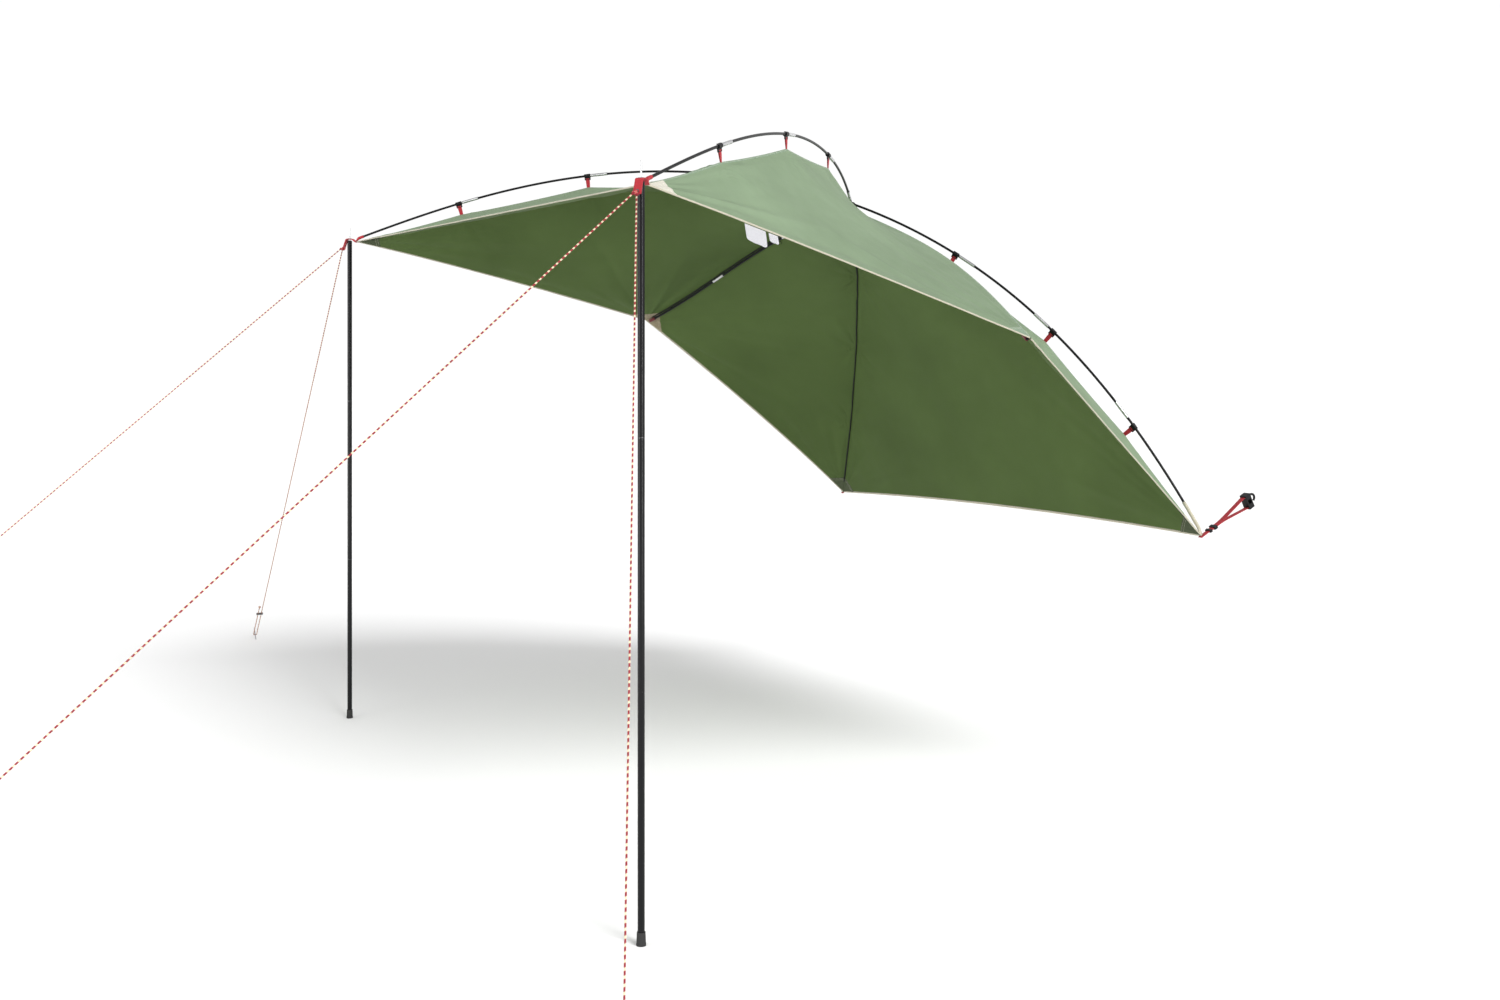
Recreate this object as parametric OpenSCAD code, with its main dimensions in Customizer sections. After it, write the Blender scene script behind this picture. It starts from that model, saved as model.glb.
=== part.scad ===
// Vehicle tarp shelter: a six-panel canopy hung under two crossed arch rods and over one
// cross rod, on two front uprights with guy lines, with two rear straps to a vehicle.
// Millimetres, +Z up, +Y towards the vehicle. The origin is midway between the two
// vehicle hooks; the ground lies anchor_h below it.

/* [Plan] */
// Distance between the two front uprights
front_span = 2860; // [2600:10:3000]
// Distance between the two side corners
side_span = 2740; // [2600:10:2900]
// Distance between the two rear corners
rear_span = 2300; // [2150:10:2450]
// Side corners behind the front uprights
side_depth = 1330; // [1280:10:1380]
// Rear corners behind the front uprights
rear_depth = 2250; // [2150:10:2350]

/* [Heights above the ground] */
// Top of the webbing on an upright
upright_h = 2000; // [1900:10:2100]
// Left side corner
left_side_h = 1650; // [1600:10:1700]
// Right side corner
right_side_h = 1565; // [1520:5:1620]
// Left rear corner
left_rear_h = 860; // [820:10:900]
// Right rear corner
right_rear_h = 900; // [860:5:940]
// Vehicle hooks
anchor_h = 1020; // [980:10:1060]

/* [Rods] */
// Diameter of a fibreglass rod
rod_d = 9; // [8.5:0.5:9.5]
// Outer diameter of a steel ferrule
ferrule_d = 12; // [11.8:0.1:12.4]
// Length of a ferrule
ferrule_l = 70; // [50:5:80]
// Height that an arch rod gains over its straight line
arch_rise = 747; // [730:1:765]
// Sideways bow of an arch rod in plan
arch_bow = 244; // [236:2:252]
// Distance from an arch rod's axis down to the canopy seam at a hook
hook_drop = 48; // [42:1:54]

/* [Uprights] */
// Outer diameter of a steel upright tube
tube_d = 19; // [16:1:22]
// Wall of an upright tube
tube_wall = 1.2; // [1:0.1:1.6]
// Diameter of the spike on top of an upright
spike_d = 5; // [4.5:0.5:5.5]
// Length of the spike above the webbing
spike_h = 44; // [30:1:60]

/* [Webbing and canopy] */
// Width of the corner webbing and of the hook tabs
webbing_w = 24; // [20:1:28]
// Thickness of the canopy solid, measured upwards
canopy_t = 1.2; // [1:0.1:1.6]
// Length of a vehicle strap measured along +Y
strap_run = 235; // [210:5:260]

/* [Guy lines] */
// Diameter of a guy line
line_d = 4.4; // [3.6:0.2:5]
// Length of a ground peg
peg_l = 180; // [150:10:230]
// Distance from the peg loop back to the tensioner
tensioner_up = 180; // [120:10:320]

/* [Hidden] */

$fn = 48;
LEFT = -1;
RIGHT = 1;
SIDES = [LEFT, RIGHT];
STRIP_SEGMENTS = 14;
PANEL_SEGMENTS = 12;

// The origin's place in ground coordinates, whose zero is midway between the feet
anchor = [0, rear_depth + strap_run, anchor_h];
ground_z = -anchor_h;

// Canopy corners, anticlockwise from the left front one
corner_inset = 22;
corner_drop = 18;
front_corner_z = upright_h - corner_drop;
function placed(p) = p - anchor;
corners = [
  placed([-front_span / 2 + corner_inset, corner_inset, front_corner_z]),
  placed([front_span / 2 - corner_inset, corner_inset, front_corner_z]),
  placed([side_span / 2, side_depth, right_side_h]),
  placed([rear_span / 2, rear_depth, right_rear_h]),
  placed([-rear_span / 2, rear_depth, left_rear_h]),
  placed([-side_span / 2, side_depth, left_side_h])
];

// Vector helpers
function lerp(a, b, t) = a + (b - a) * t;
function unit(v) = v / norm(v);
function flat_dir(v) = unit([v.x, v.y, 0]);
function below(v) = let (t = unit(v)) unit(t * t.z - [0, 0, 1]);
function steps(n) = [for (i = [0:n]) i / n];
function bump(s) = 4 * s * (1 - s);

// Arch rods: the left one runs from the left front corner to the right rear corner, and
// the right one is its mirror image, but for its lower rear end. The left rod lies on top.
arch_skew = 417;
arch_crown = 553;
arch_tail = 788;
bow_skew = 56;
end_drop = 11;
rod_stack = 6;
arch_cross_s = 0.6115;
function arch_z(s) =
  let (m = s - 0.5)
  bump(s) * (arch_rise + arch_skew * m + arch_crown * m * m + arch_tail * m * m * m);
function arch_plan(s) =
  let (
    a = corners[0],
    b = corners[3],
    along = flat_dir(b - a),
    bow = bump(s) * (arch_bow + bow_skew * (s - 0.5))
  )
  [a.x + (b.x - a.x) * s - along.y * bow, a.y + (b.y - a.y) * s + along.x * bow];
function arch(side, s) =
  let (
    p = arch_plan(s),
    lower = side == LEFT ? 0 : (corners[3].z - corners[4].z) * pow(max(0, 2 * s - 1), 2),
    z = lerp(corners[0].z, corners[3].z, s) + end_drop + arch_z(s) - lower
  )
  [-side * p.x, p.y, z - side * rod_stack * bump(s)];

// Cross rod, from the left side corner to the right one, under the canopy
cross_bow = 236;
cross_rise = 449;
cross_crown = -735;
// Its right half sags a little more than its left one
right_sag = 52;
sag_ease = 0.03;
sag_power = 2.2;
sag_peak = 0.137;
function right_drop(s) =
  let (m = s - 0.5, w = min(1, m + sqrt(m * m + sag_ease * sag_ease)))
  right_sag * w * pow(1 - w, sag_power) / sag_peak;
function cross_curve(s) =
  let (
    a = corners[5],
    b = corners[2],
    rise = cross_rise + cross_crown * pow(s - 0.5, 2)
  )
  [lerp(a.x, b.x, s), a.y + cross_bow * bump(s),
   lerp(a.z, b.z, s) + bump(s) * rise - right_drop(s)];

// Hooks hold the arch rods to the canopy seams at these shares of a rod's plan length
hook_places = [0.126, 0.286, 0.444, 0.734, 0.844, 0.931];

// Canopy seams: each runs from corner k, at t = 0, to the apex, at t = 1. A seam under an
// arch rod is pulled tight, so it runs nearly straight from one hook to the next.
apex_rise = 24;
side_lift = 14;
seam_sag = 4;
apex = cross_curve(0.5) + [0, 0, apex_rise];
front_hooks = [for (i = [0:2]) hook_places[i]];
rear_hooks = [for (i = [3:5]) hook_places[i]];
held_places = concat([0], front_hooks, [arch_cross_s], rear_hooks, [1]);
function held_point(side, i) =
  let (s = held_places[i], p = arch(side, s))
  s == arch_cross_s ? apex
  : i == 0 || i == len(held_places) - 1 ? p - [0, 0, end_drop]
  : p + below(arch_dir(side, s)) * hook_drop;
function place_after(s, i = 1) =
  i == len(held_places) - 1 || s <= held_places[i] ? i : place_after(s, i + 1);
function arch_seam(side, s) =
  let (
    i = place_after(s),
    a = held_point(side, i - 1),
    b = held_point(side, i),
    w = (s - held_places[i - 1]) / (held_places[i] - held_places[i - 1])
  )
  lerp(a, b, w) - [0, 0, seam_sag * bump(w)];
function cross_seam(s) =
  let (top = cross_curve(s) + [0, 0, side_lift], close = pow(1 - abs(2 * s - 1), 5))
  top + [0, 0, (apex_rise - side_lift) * close];
rear_share = 1 - arch_cross_s;
function seam(k, t) =
  k == 0 ? arch_seam(LEFT, arch_cross_s * t)
  : k == 1 ? arch_seam(RIGHT, arch_cross_s * t)
  : k == 2 ? cross_seam(1 - 0.5 * t)
  : k == 3 ? arch_seam(LEFT, 1 - rear_share * t)
  : k == 4 ? arch_seam(RIGHT, 1 - rear_share * t)
  : cross_seam(0.5 * t);

// Rows of a panel, so that its seams bend at the hooks
SPLIT = 3;
apex_stop = 0.985;
front_holds = concat([0], [for (i = [0:2]) hook_places[i] / arch_cross_s], [apex_stop]);
rear_holds = concat([0], [for (i = [5:-1:3]) (1 - hook_places[i]) / rear_share], [apex_stop]);
function split(holds) = concat(
  [for (i = [0:len(holds) - 2], j = [0:SPLIT - 1]) lerp(holds[i], holds[i + 1], j / SPLIT)],
  [holds[len(holds) - 1]]
);
function panel_rows(k) = k == 0 || k == 1 || k == 5 ? split(front_holds) : split(rear_holds);
function seam_rows(k) = k == 0 || k == 1 ? split(front_holds)
  : k == 3 || k == 4 ? split(rear_holds) : apex_stop * steps(PANEL_SEGMENTS);

// The canopy cloth between the seams of corners k and k + 1: u runs round, t inwards. It
// dips between its seams, but not at the edge or the apex.
edge_pull = 0.012;
dip = 45;
function next(k) = (k + 1) % 6;
function dip_at(t) = dip * (1 - pow(1 - t, 2)) * (1 - pow(t, 8));
function cloth(k, u, t) =
  let (t2 = t + (1 - t) * edge_pull * bump(u))
  lerp(seam(k, t2), seam(next(k), t2), u) - [0, 0, dip_at(t) * bump(u)];

// Sets X along a direction and keeps Z in the upright plane through it
module along(p, direction) {
  d = unit(direction);
  translate(p) rotate([0, -asin(d.z), atan2(d.y, d.x)]) children();
}

// A closed slab from two grids of points, the lower one first; rows run inwards
module slab(low, high, columns, rows) {
  n = columns * rows;
  function at(i, j) = j * columns + i;
  quads_high = [for (j = [0:rows - 2], i = [0:columns - 2])
    [n + at(i, j), n + at(i, j + 1), n + at(i + 1, j + 1), n + at(i + 1, j)]];
  quads_low = [for (j = [0:rows - 2], i = [0:columns - 2])
    [at(i, j), at(i + 1, j), at(i + 1, j + 1), at(i, j + 1)]];
  walls = concat(
    [for (i = [0:columns - 2])
      [at(i, 0), n + at(i, 0), n + at(i + 1, 0), at(i + 1, 0)]],
    [for (i = [0:columns - 2])
      [at(i + 1, rows - 1), n + at(i + 1, rows - 1), n + at(i, rows - 1), at(i, rows - 1)]],
    [for (j = [0:rows - 2])
      [at(0, j + 1), n + at(0, j + 1), n + at(0, j), at(0, j)]],
    [for (j = [0:rows - 2])
      [at(columns - 1, j), n + at(columns - 1, j),
       n + at(columns - 1, j + 1), at(columns - 1, j + 1)]]
  );
  triangles = [for (q = concat(quads_high, quads_low, walls))
    each [[q[0], q[1], q[2]], [q[0], q[2], q[3]]]];
  polyhedron(points = concat(low, high), faces = triangles, convexity = 6);
}

// A closed tube or strip from rings of equal length, each ordered round the path
module rings_solid(rings) {
  n = len(rings[0]);
  last = len(rings) - 1;
  body = [for (i = [0:last - 1], j = [0:n - 1]) each [
    [i * n + j, (i + 1) * n + (j + 1) % n, i * n + (j + 1) % n],
    [i * n + j, (i + 1) * n + j, (i + 1) * n + (j + 1) % n]
  ]];
  first_cap = [for (j = [1:n - 2]) [0, j, j + 1]];
  last_cap = [for (j = [1:n - 2]) [last * n, last * n + j + 1, last * n + j]];
  points = [for (r = rings) each r];
  polyhedron(points = points, faces = concat(body, first_cap, last_cap), convexity = 6);
}

function tangent(path, i) = unit(path[min(i + 1, len(path) - 1)] - path[max(i - 1, 0)]);
function side_of(t) = unit(cross(t, abs(t.z) > 0.97 ? [1, 0, 0] : [0, 0, 1]));

// A round tube along a path
module tube(path, d, sides) {
  rings_solid([for (i = [0:len(path) - 1])
    let (t = tangent(path, i), s = side_of(t), v = cross(s, t))
    [for (j = [0:sides - 1])
      path[i] + (s * cos(360 * j / sides) + v * sin(360 * j / sides)) * d / 2]
  ]);
}

// A flat strip along a path, with its width along the given directions
module strip(path, across, w, thick) {
  rings_solid([for (i = [0:len(path) - 1])
    let (a = across[i] * w / 2, v = unit(cross(across[i], tangent(path, i))) * thick / 2)
    [path[i] + a + v, path[i] - a + v, path[i] - a - v, path[i] + a - v]
  ]);
}

// One canopy panel, stopping short of the seams and of the apex
seam_gap = 0.0004;
module panel(k) {
  rows = panel_rows(k);
  grid = [for (t = rows, u = steps(PANEL_SEGMENTS))
    cloth(k, lerp(seam_gap, 1 - seam_gap, u), t)];
  half = [0, 0, canopy_t / 2];
  low = [for (p = grid) p - half];
  high = [for (p = grid) p + half];
  slab(low, high, PANEL_SEGMENTS + 1, len(rows));
}

module front_panel() { color("darkolivegreen") panel(0); }
module right_front_panel() { color("darkseagreen") panel(1); }
module right_rear_panel() { color("darkseagreen") panel(2); }
module rear_panel() { color("olivedrab") panel(3); }
module left_rear_panel() { color("darkolivegreen") panel(4); }
module left_front_panel() { color("darkolivegreen") panel(5); }

// Folded tape round the canopy's six edges
binding_w = 9;
binding_t = 2.6;
binding_end = 0.014;
module edge_binding() {
  color("beige") for (k = [0:5]) {
    us = [for (u = steps(STRIP_SEGMENTS)) lerp(binding_end, 1 - binding_end, u)];
    path = [for (u = us) cloth(k, u, 0)];
    inwards = [for (u = us) unit(cloth(k, u, 0.01) - cloth(k, u, 0))];
    strip(path, inwards, binding_w, binding_t);
  }
}

// Bound seam allowances that stand down inside the canopy along its six seams
seam_tape_h = 6;
seam_tape_t = 1.6;
module seam_bindings() {
  color("black") for (k = [0:5]) {
    ts = [for (t = seam_rows(k)) if (t > 0.04 && t < 0.95) t];
    path = [for (t = ts) seam(k, t) - [0, 0, seam_tape_h / 2]];
    upright = [for (i = [0:len(path) - 1])
      let (t = tangent(path, i)) unit([0, 0, 1] - t * t.z)];
    strip(path, upright, seam_tape_h, seam_tape_t);
  }
}

// Doubled fabric at each corner, wrapped over both faces of the two panels there
patch_t = 3;
patch_size = 95;
edge_start = 0.004;
function seam_reach(k) = patch_size * 0.1 / norm(seam(k, 0.1) - seam(k, 0));
function edge_reach(k) = patch_size / norm(corners[next(k)] - corners[k]);
module patch_half(k, at_start) {
  reach_t = seam_reach(at_start ? k : next(k));
  reach_u = edge_reach(k);
  grid = [for (t = [0, 0.5, 1], w = [0, 0.5, 1])
    let (u = lerp(0.002, reach_u * (1 - 0.9 * t), w))
    cloth(k, at_start ? u : 1 - u, lerp(edge_start, reach_t, t))];
  order = at_start ? [0, 1, 2, 3, 4, 5, 6, 7, 8] : [2, 1, 0, 5, 4, 3, 8, 7, 6];
  half = [0, 0, patch_t / 2];
  slab([for (i = order) grid[i] - half], [for (i = order) grid[i] + half], 3, 3);
}
module corner_patches() {
  color("antiquewhite") for (k = [0:5]) {
    patch_half(k, true);
    patch_half(k, false);
  }
}

// Star-shaped patch over the place where the six panels meet
apex_patch_t = 3;
apex_patch_reach = 0.95;
module apex_patch() {
  rim = [for (k = [0:5], u = [0, 0.5]) cloth(k, u, apex_patch_reach)];
  n = len(rim);
  up = [0, 0, apex_patch_t / 2];
  points = concat([apex - up, apex + up], [for (p = rim) each [p - up, p + up]]);
  faces = [for (i = [0:n - 1])
    let (a = 2 + 2 * i, b = 2 + 2 * ((i + 1) % n))
    each [[0, a, b], [1, b + 1, a + 1], [a, a + 1, b + 1], [a, b + 1, b]]];
  color("darkolivegreen") polyhedron(points = points, faces = faces, convexity = 6);
}

// Cord loops: one ties the two arch rods together over the apex, and two tie the cross
// rod up to the seams above it
tie_inner_r = 16;
tie_drop = 5;
tie_wire_d = 3;
cross_tie_places = [0.31, 0.69];
cross_tie_wire_d = 2.6;
cross_tie_inner_r = 5.6;
cross_tie_lift = 0.9;
arch_crossing_z = (arch(LEFT, arch_cross_s).z + arch(RIGHT, arch_cross_s).z) / 2;
arch_crossing = [0, arch(LEFT, arch_cross_s).y, arch_crossing_z];
module loop(inner_r, wire_d) {
  rotate([0, 90, 0]) rotate_extrude() translate([inner_r + wire_d / 2, 0]) circle(d = wire_d);
}
module rod_ties() {
  color("black") {
    translate(arch_crossing - [0, 0, tie_drop]) loop(tie_inner_r, tie_wire_d);
    for (s = cross_tie_places) along(cross_curve(s), cross_dir(s))
      translate([0, 0, cross_tie_lift]) loop(cross_tie_inner_r, cross_tie_wire_d);
  }
}

// Fibreglass rods, each in sections that meet inside the ferrules
ROD_STEPS = 9;
CROSS_STEPS = 12;
rod_sides = 12;
section_gap = 0.6;
arch_joints = [0.1405, 0.3005, 0.4585, 0.58, 0.747, 0.831, 0.918];
cross_joints = [0.1675, 0.335, 0.55, 0.71, 0.855];
arch_end_in = 0.006;
cross_end_in = 0.012;
function sections(joints, first, last) =
  let (all = concat([first], joints, [last]))
  [for (i = [0:len(all) - 2]) [all[i], all[i + 1]]];
module rod_section(points) {
  n = len(points) - 1;
  start = points[0] + unit(points[1] - points[0]) * section_gap / 2;
  stop = points[n] - unit(points[n] - points[n - 1]) * section_gap / 2;
  trimmed = [for (i = [0:n]) i == 0 ? start : i == n ? stop : points[i]];
  tube(trimmed, rod_d, rod_sides);
}
module arch_rod(side) {
  for (span = sections(arch_joints, arch_end_in, 1 - arch_end_in))
    rod_section([for (t = steps(ROD_STEPS)) arch(side, lerp(span[0], span[1], t))]);
}
module arch_rod_left() { color("black") arch_rod(LEFT); }
module arch_rod_right() { color("black") arch_rod(RIGHT); }
module cross_rod() {
  color("black") for (span = sections(cross_joints, cross_end_in, 1 - cross_end_in))
    rod_section([for (t = steps(CROSS_STEPS)) cross_curve(lerp(span[0], span[1], t))]);
}

// Steel sleeves over the joints between sections
ferrule_play = 1.4;
module sleeve(outer, inner, l) {
  rotate([0, 90, 0]) difference() {
    cylinder(d = outer, h = l, center = true);
    cylinder(d = inner, h = l + 2, center = true);
  }
}
slope_step = 0.002;
function arch_dir(side, s) = arch(side, s + slope_step) - arch(side, s - slope_step);
function cross_dir(s) = cross_curve(s + slope_step) - cross_curve(s - slope_step);
module rod_ferrules() {
  color("silver") {
    for (side = SIDES, s = arch_joints)
      along(arch(side, s), arch_dir(side, s)) sleeve(ferrule_d, rod_d + ferrule_play, ferrule_l);
    for (s = cross_joints)
      along(cross_curve(s), cross_dir(s)) sleeve(ferrule_d, rod_d + ferrule_play, ferrule_l);
  }
}

// Rounded caps on the rod ends
tip_l = 10;
module rod_tip(p, direction) {
  along(p, direction) translate([section_gap, 0, 0]) rotate([0, 90, 0])
    cylinder(d1 = rod_d, d2 = rod_d * 0.6, h = tip_l);
}
module rod_tips() {
  color("dimgray") {
    for (side = SIDES) {
      rod_tip(arch(side, arch_end_in), -arch_dir(side, arch_end_in));
      rod_tip(arch(side, 1 - arch_end_in), arch_dir(side, 1 - arch_end_in));
    }
    rod_tip(cross_curve(cross_end_in), -cross_dir(cross_end_in));
    rod_tip(cross_curve(1 - cross_end_in), cross_dir(1 - cross_end_in));
  }
}

// Sewn sleeves that hold the arch rods' ends at the corners
pocket_d = 14;
pocket_front_l = 52;
pocket_rear_l = 70;
module rod_pockets() {
  color("tan") for (side = SIDES) {
    front_s = 0.0135;
    rear_s = 0.984;
    along(arch(side, front_s), arch_dir(side, front_s))
      sleeve(pocket_d, rod_d + 1.2, pocket_front_l);
    along(arch(side, rear_s), arch_dir(side, rear_s))
      sleeve(pocket_d, rod_d + 1.2, pocket_rear_l);
  }
}

// Plastic hooks on the rods, each with a slotted foot for its tab
hook_bore_r = rod_d / 2 + 0.7;
hook_wall = 2.8;
hook_w = 24;
hook_foot_h = 9;
hook_slot = [17, 3.4];
module rod_hook() {
  rotate([90, 0, 90]) translate([0, 0, -hook_w / 2]) {
    difference() {
      linear_extrude(hook_w) difference() {
        union() {
          circle(r = hook_bore_r + hook_wall);
          translate([-2.5, -hook_bore_r - hook_wall - hook_foot_h]) square([5, hook_foot_h + 2]);
        }
        circle(r = hook_bore_r);
        rotate(35) translate([0, -3.4]) square([hook_bore_r + hook_wall + 1, 6.8]);
      }
      translate([0, -hook_bore_r - hook_wall - hook_foot_h / 2, hook_w / 2])
        cube([8, hook_slot.y, hook_slot.x], center = true);
    }
  }
}
module rod_hooks() {
  color("black") for (side = SIDES, s = hook_places)
    along(arch(side, s), arch_dir(side, s)) rod_hook();
}

// Red webbing tabs between the hooks and the canopy seams
tab_w = 16;
tab_t = 3;
tab_start = hook_bore_r + hook_wall + hook_foot_h / 2 + 1;
module tab(p, direction) {
  t = unit(direction);
  strip([p + below(t) * tab_start, p + below(t) * hook_drop], [t, t], tab_w, tab_t);
}
module hook_tabs() {
  color("red") for (side = SIDES, s = hook_places)
    tab(arch(side, s), arch_dir(side, s));
}

// Upright tops: the webbing seat is the pivot on the spike
pivot_drop = 6;
pivot_z = upright_h - pivot_drop - anchor_h;
function upright_axis(side) = [side * front_span / 2, -anchor.y, pivot_z];
function outwards(side) = let (v = flat_dir(upright_axis(side) - apex)) v;
webbing_t = 3;
// Outer tab: measured outwards and down from the pivot, with an eyelet above its end
tab_top = [13, -2.5];
tab_eyelet = [25, -35];
tab_end = [28, -43];
tab_slope = unit(tab_end - tab_top);
function at_tab(side, p) = upright_axis(side) + outwards(side) * p.x + [0, 0, p.y];
function tab_face(side) = outwards(side) * -tab_slope.y + [0, 0, tab_slope.x];
function pull_point(side) = at_tab(side, tab_eyelet) + tab_face(side) * 6;

// Red webbing over the upright: inner end on the canopy corner, outer end a tab for the guy lines
module front_webbing(side) {
  o = outwards(side);
  place = upright_axis(side);
  path = [for (p = [[-30, -14], [-14, -1.5], [-8, 0], [8, 0], tab_top, tab_end])
    at_tab(side, p)];
  sideways = [-o.y, o.x, 0];
  difference() {
    strip(path, [for (p = path) sideways], webbing_w, webbing_t);
    translate(place) cylinder(d = eyelet_d + 0.4, h = 12, center = true);
    along(at_tab(side, tab_eyelet), tab_face(side)) rotate([0, 90, 0])
      cylinder(d = tab_eyelet_d + 0.4, h = 12, center = true);
  }
}
module left_front_webbing() { color("red") front_webbing(LEFT); }
module right_front_webbing() { color("red") front_webbing(RIGHT); }

// Metal eyelets in the webbing, round the spikes
eyelet_hole_d = 8;
eyelet_d = 16.6;
eyelet_t = 4.6;
module front_eyelets() {
  color("dimgray") for (side = SIDES)
    translate(upright_axis(side)) difference() {
      cylinder(d = eyelet_d, h = eyelet_t, center = true);
      cylinder(d = eyelet_hole_d, h = eyelet_t + 2, center = true);
    }
}

// Small eyelets in the outer tabs, for the guy lines
tab_eyelet_d = 9.6;
tab_eyelet_hole_d = 5;
module tab_eyelets() {
  color("dimgray") for (side = SIDES)
    along(at_tab(side, tab_eyelet), tab_face(side))
      sleeve(tab_eyelet_d, tab_eyelet_hole_d, eyelet_t);
}

// One upright, in three steel tubes on two inner spigots
foot_h = 35;
tube_foot_z = 8;
joint_z = [660, 1320];
spigot_l = 120;
plug_top_drop = 6.5;
plug_cap_h = 6;
function up(side, z) = [upright_axis(side).x, upright_axis(side).y, ground_z + z];
cap_top_z = pivot_z - plug_top_drop - ground_z;
tube_top_z = cap_top_z - plug_cap_h;
tube_bore_d = tube_d - 2 * tube_wall;
module tube_part(side, low, high) {
  color("black") translate(up(side, low)) difference() {
    cylinder(d = tube_d, h = high - low);
    translate([0, 0, -1]) cylinder(d = tube_bore_d, h = high - low + 2);
  }
}
module left_tube_lower() { tube_part(LEFT, tube_foot_z, joint_z[0] - 0.2); }
module left_tube_middle() { tube_part(LEFT, joint_z[0] + 0.2, joint_z[1] - 0.2); }
module left_tube_upper() { tube_part(LEFT, joint_z[1] + 0.2, tube_top_z); }
module right_tube_lower() { tube_part(RIGHT, tube_foot_z, joint_z[0] - 0.2); }
module right_tube_middle() { tube_part(RIGHT, joint_z[0] + 0.2, joint_z[1] - 0.2); }
module right_tube_upper() { tube_part(RIGHT, joint_z[1] + 0.2, tube_top_z); }

fit_play = 0.2;
module spigots(side) {
  color("gray") for (z = joint_z) translate(up(side, z - spigot_l / 2))
    cylinder(d = tube_bore_d - fit_play, h = spigot_l);
}
module left_spigots() { spigots(LEFT); }
module right_spigots() { spigots(RIGHT); }

// Plastic plug in the top of a tube, with a chamfered cap and a socket for the spike
plug_l = 40;
spike_seat = 35;
module top_plug(side) {
  color("black") translate(up(side, tube_top_z)) difference() {
    union() {
      translate([0, 0, -plug_l]) cylinder(d = tube_bore_d - fit_play, h = plug_l + 1);
      cylinder(d = tube_d, h = plug_cap_h - 3);
      translate([0, 0, plug_cap_h - 3]) cylinder(d1 = tube_d, d2 = tube_d - 6, h = 3);
    }
    translate([0, 0, plug_cap_h - spike_seat])
      cylinder(d = spike_d + stud_extra + fit_play, h = spike_seat + 1);
  }
}
module left_top_plug() { top_plug(LEFT); }
module right_top_plug() { top_plug(RIGHT); }

// Spike: a stud in the plug and through the eyelet, and a slimmer free end above a step
spike_tip_l = 4;
stud_extra = 0.8;
stud_top_up = 4;
stud_l = spike_seat - 0.5 + plug_top_drop + stud_top_up;
module spike(side) {
  color("silver") translate(up(side, cap_top_z - spike_seat + 0.5)) {
    cylinder(d = spike_d + stud_extra, h = stud_l);
    translate([0, 0, stud_l]) cylinder(d = spike_d, h = spike_h - spike_tip_l);
    translate([0, 0, stud_l + spike_h - spike_tip_l]) cylinder(d1 = spike_d, d2 = 2, h = spike_tip_l);
  }
}
module left_spike() { spike(LEFT); }
module right_spike() { spike(RIGHT); }

// Flared rubber foot
foot_top_d = tube_d + 4;
foot_bottom_d = tube_d + 7;
foot_sole_h = 6;
module foot(side) {
  color("black") translate(up(side, 0)) difference() {
    union() {
      cylinder(d = foot_bottom_d, h = foot_sole_h);
      translate([0, 0, foot_sole_h])
        cylinder(d1 = foot_bottom_d - 1, d2 = foot_top_d, h = foot_h - foot_sole_h);
    }
    translate([0, 0, tube_foot_z - 0.2]) cylinder(d = tube_d + fit_play, h = foot_h);
  }
}
module left_foot() { foot(LEFT); }
module right_foot() { foot(RIGHT); }

// Blank labels on the binding of the right front edge, standing out a little from plumb
label_t = 0.8;
label_gap = 1;
function edge_point(t) = cloth(1, t, 0);
function edge_out(t) = -unit(cloth(1, t, 0.01) - cloth(1, t, 0));
function label_pivot(t) = edge_point(t) + edge_out(t) * binding_w / 2 - [0, 0, binding_t / 2 + 0.6];
edge_dir = unit(edge_point(0.35) - edge_point(0.22));
label_tilt = 36;
module label(t, w, h) {
  color("white") along(label_pivot(t), edge_dir) rotate([-label_tilt, 0, 0])
    translate([-w / 2, -label_t / 2, -h - label_gap]) cube([w, label_t, h]);
}
large_label_t = 0.252;
small_label_t = 0.296;
module large_label() { label(large_label_t, 70, 60); }
module small_label() { label(small_label_t, 31, 34); }

// Side corners: a red loop and a dark cap hold each end of the cross rod
loop_l = 34;
module side_corner_loops() {
  color("darkred") for (s = [0.016, 0.984])
    along(cross_curve(s), cross_dir(s)) sleeve(15, rod_d + 1, loop_l);
}

// Rear corners and vehicle straps. The strap's own X runs from the corner to the hook.
function hook_point(side) = [side * rear_span / 2, 0, 0];
function rear_corner(side) = side == LEFT ? corners[4] : corners[3];
function strap_dir(side) = unit(hook_point(side) - rear_corner(side));
function strap_l(side) = norm(hook_point(side) - rear_corner(side));
strap_w = 20;
strap_t = 1.8;
module on_strap(side) { along(rear_corner(side), strap_dir(side)) children(); }

keeper_x = 38;
module rear_webbing() {
  color("red") for (side = SIDES) on_strap(side)
    translate([-8, -strap_w / 2, -strap_t / 2]) cube([keeper_x + 4, strap_w, strap_t]);
}
module strap_keepers() {
  color("black") for (side = SIDES) on_strap(side) translate([keeper_x, 0, 0]) difference() {
    cube([10, strap_w + 6, 9], center = true);
    cube([12, strap_w + 0.8, 5.4], center = true);
  }
}

// The strap loops from the keeper through the slider and opens into two legs
leg_start = 34.6;
leg_open = 100;
leg_half_gap = 20;
hook_plate_x = 34;
module strap_leg(side, way) {
  stop = strap_l(side) - hook_plate_x;
  points = [
    [leg_start, 0, way * 1.35],
    [leg_open, 0, way * 1.35],
    [stop, 0, way * leg_half_gap]
  ];
  strip(points, [for (p = points) [0, 1, 0]], strap_w, strap_t);
}
module vehicle_strap(side) {
  color("red") on_strap(side) {
    strap_leg(side, 1);
    strap_leg(side, -1);
  }
}
module left_vehicle_strap() { vehicle_strap(LEFT); }
module right_vehicle_strap() { vehicle_strap(RIGHT); }

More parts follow.
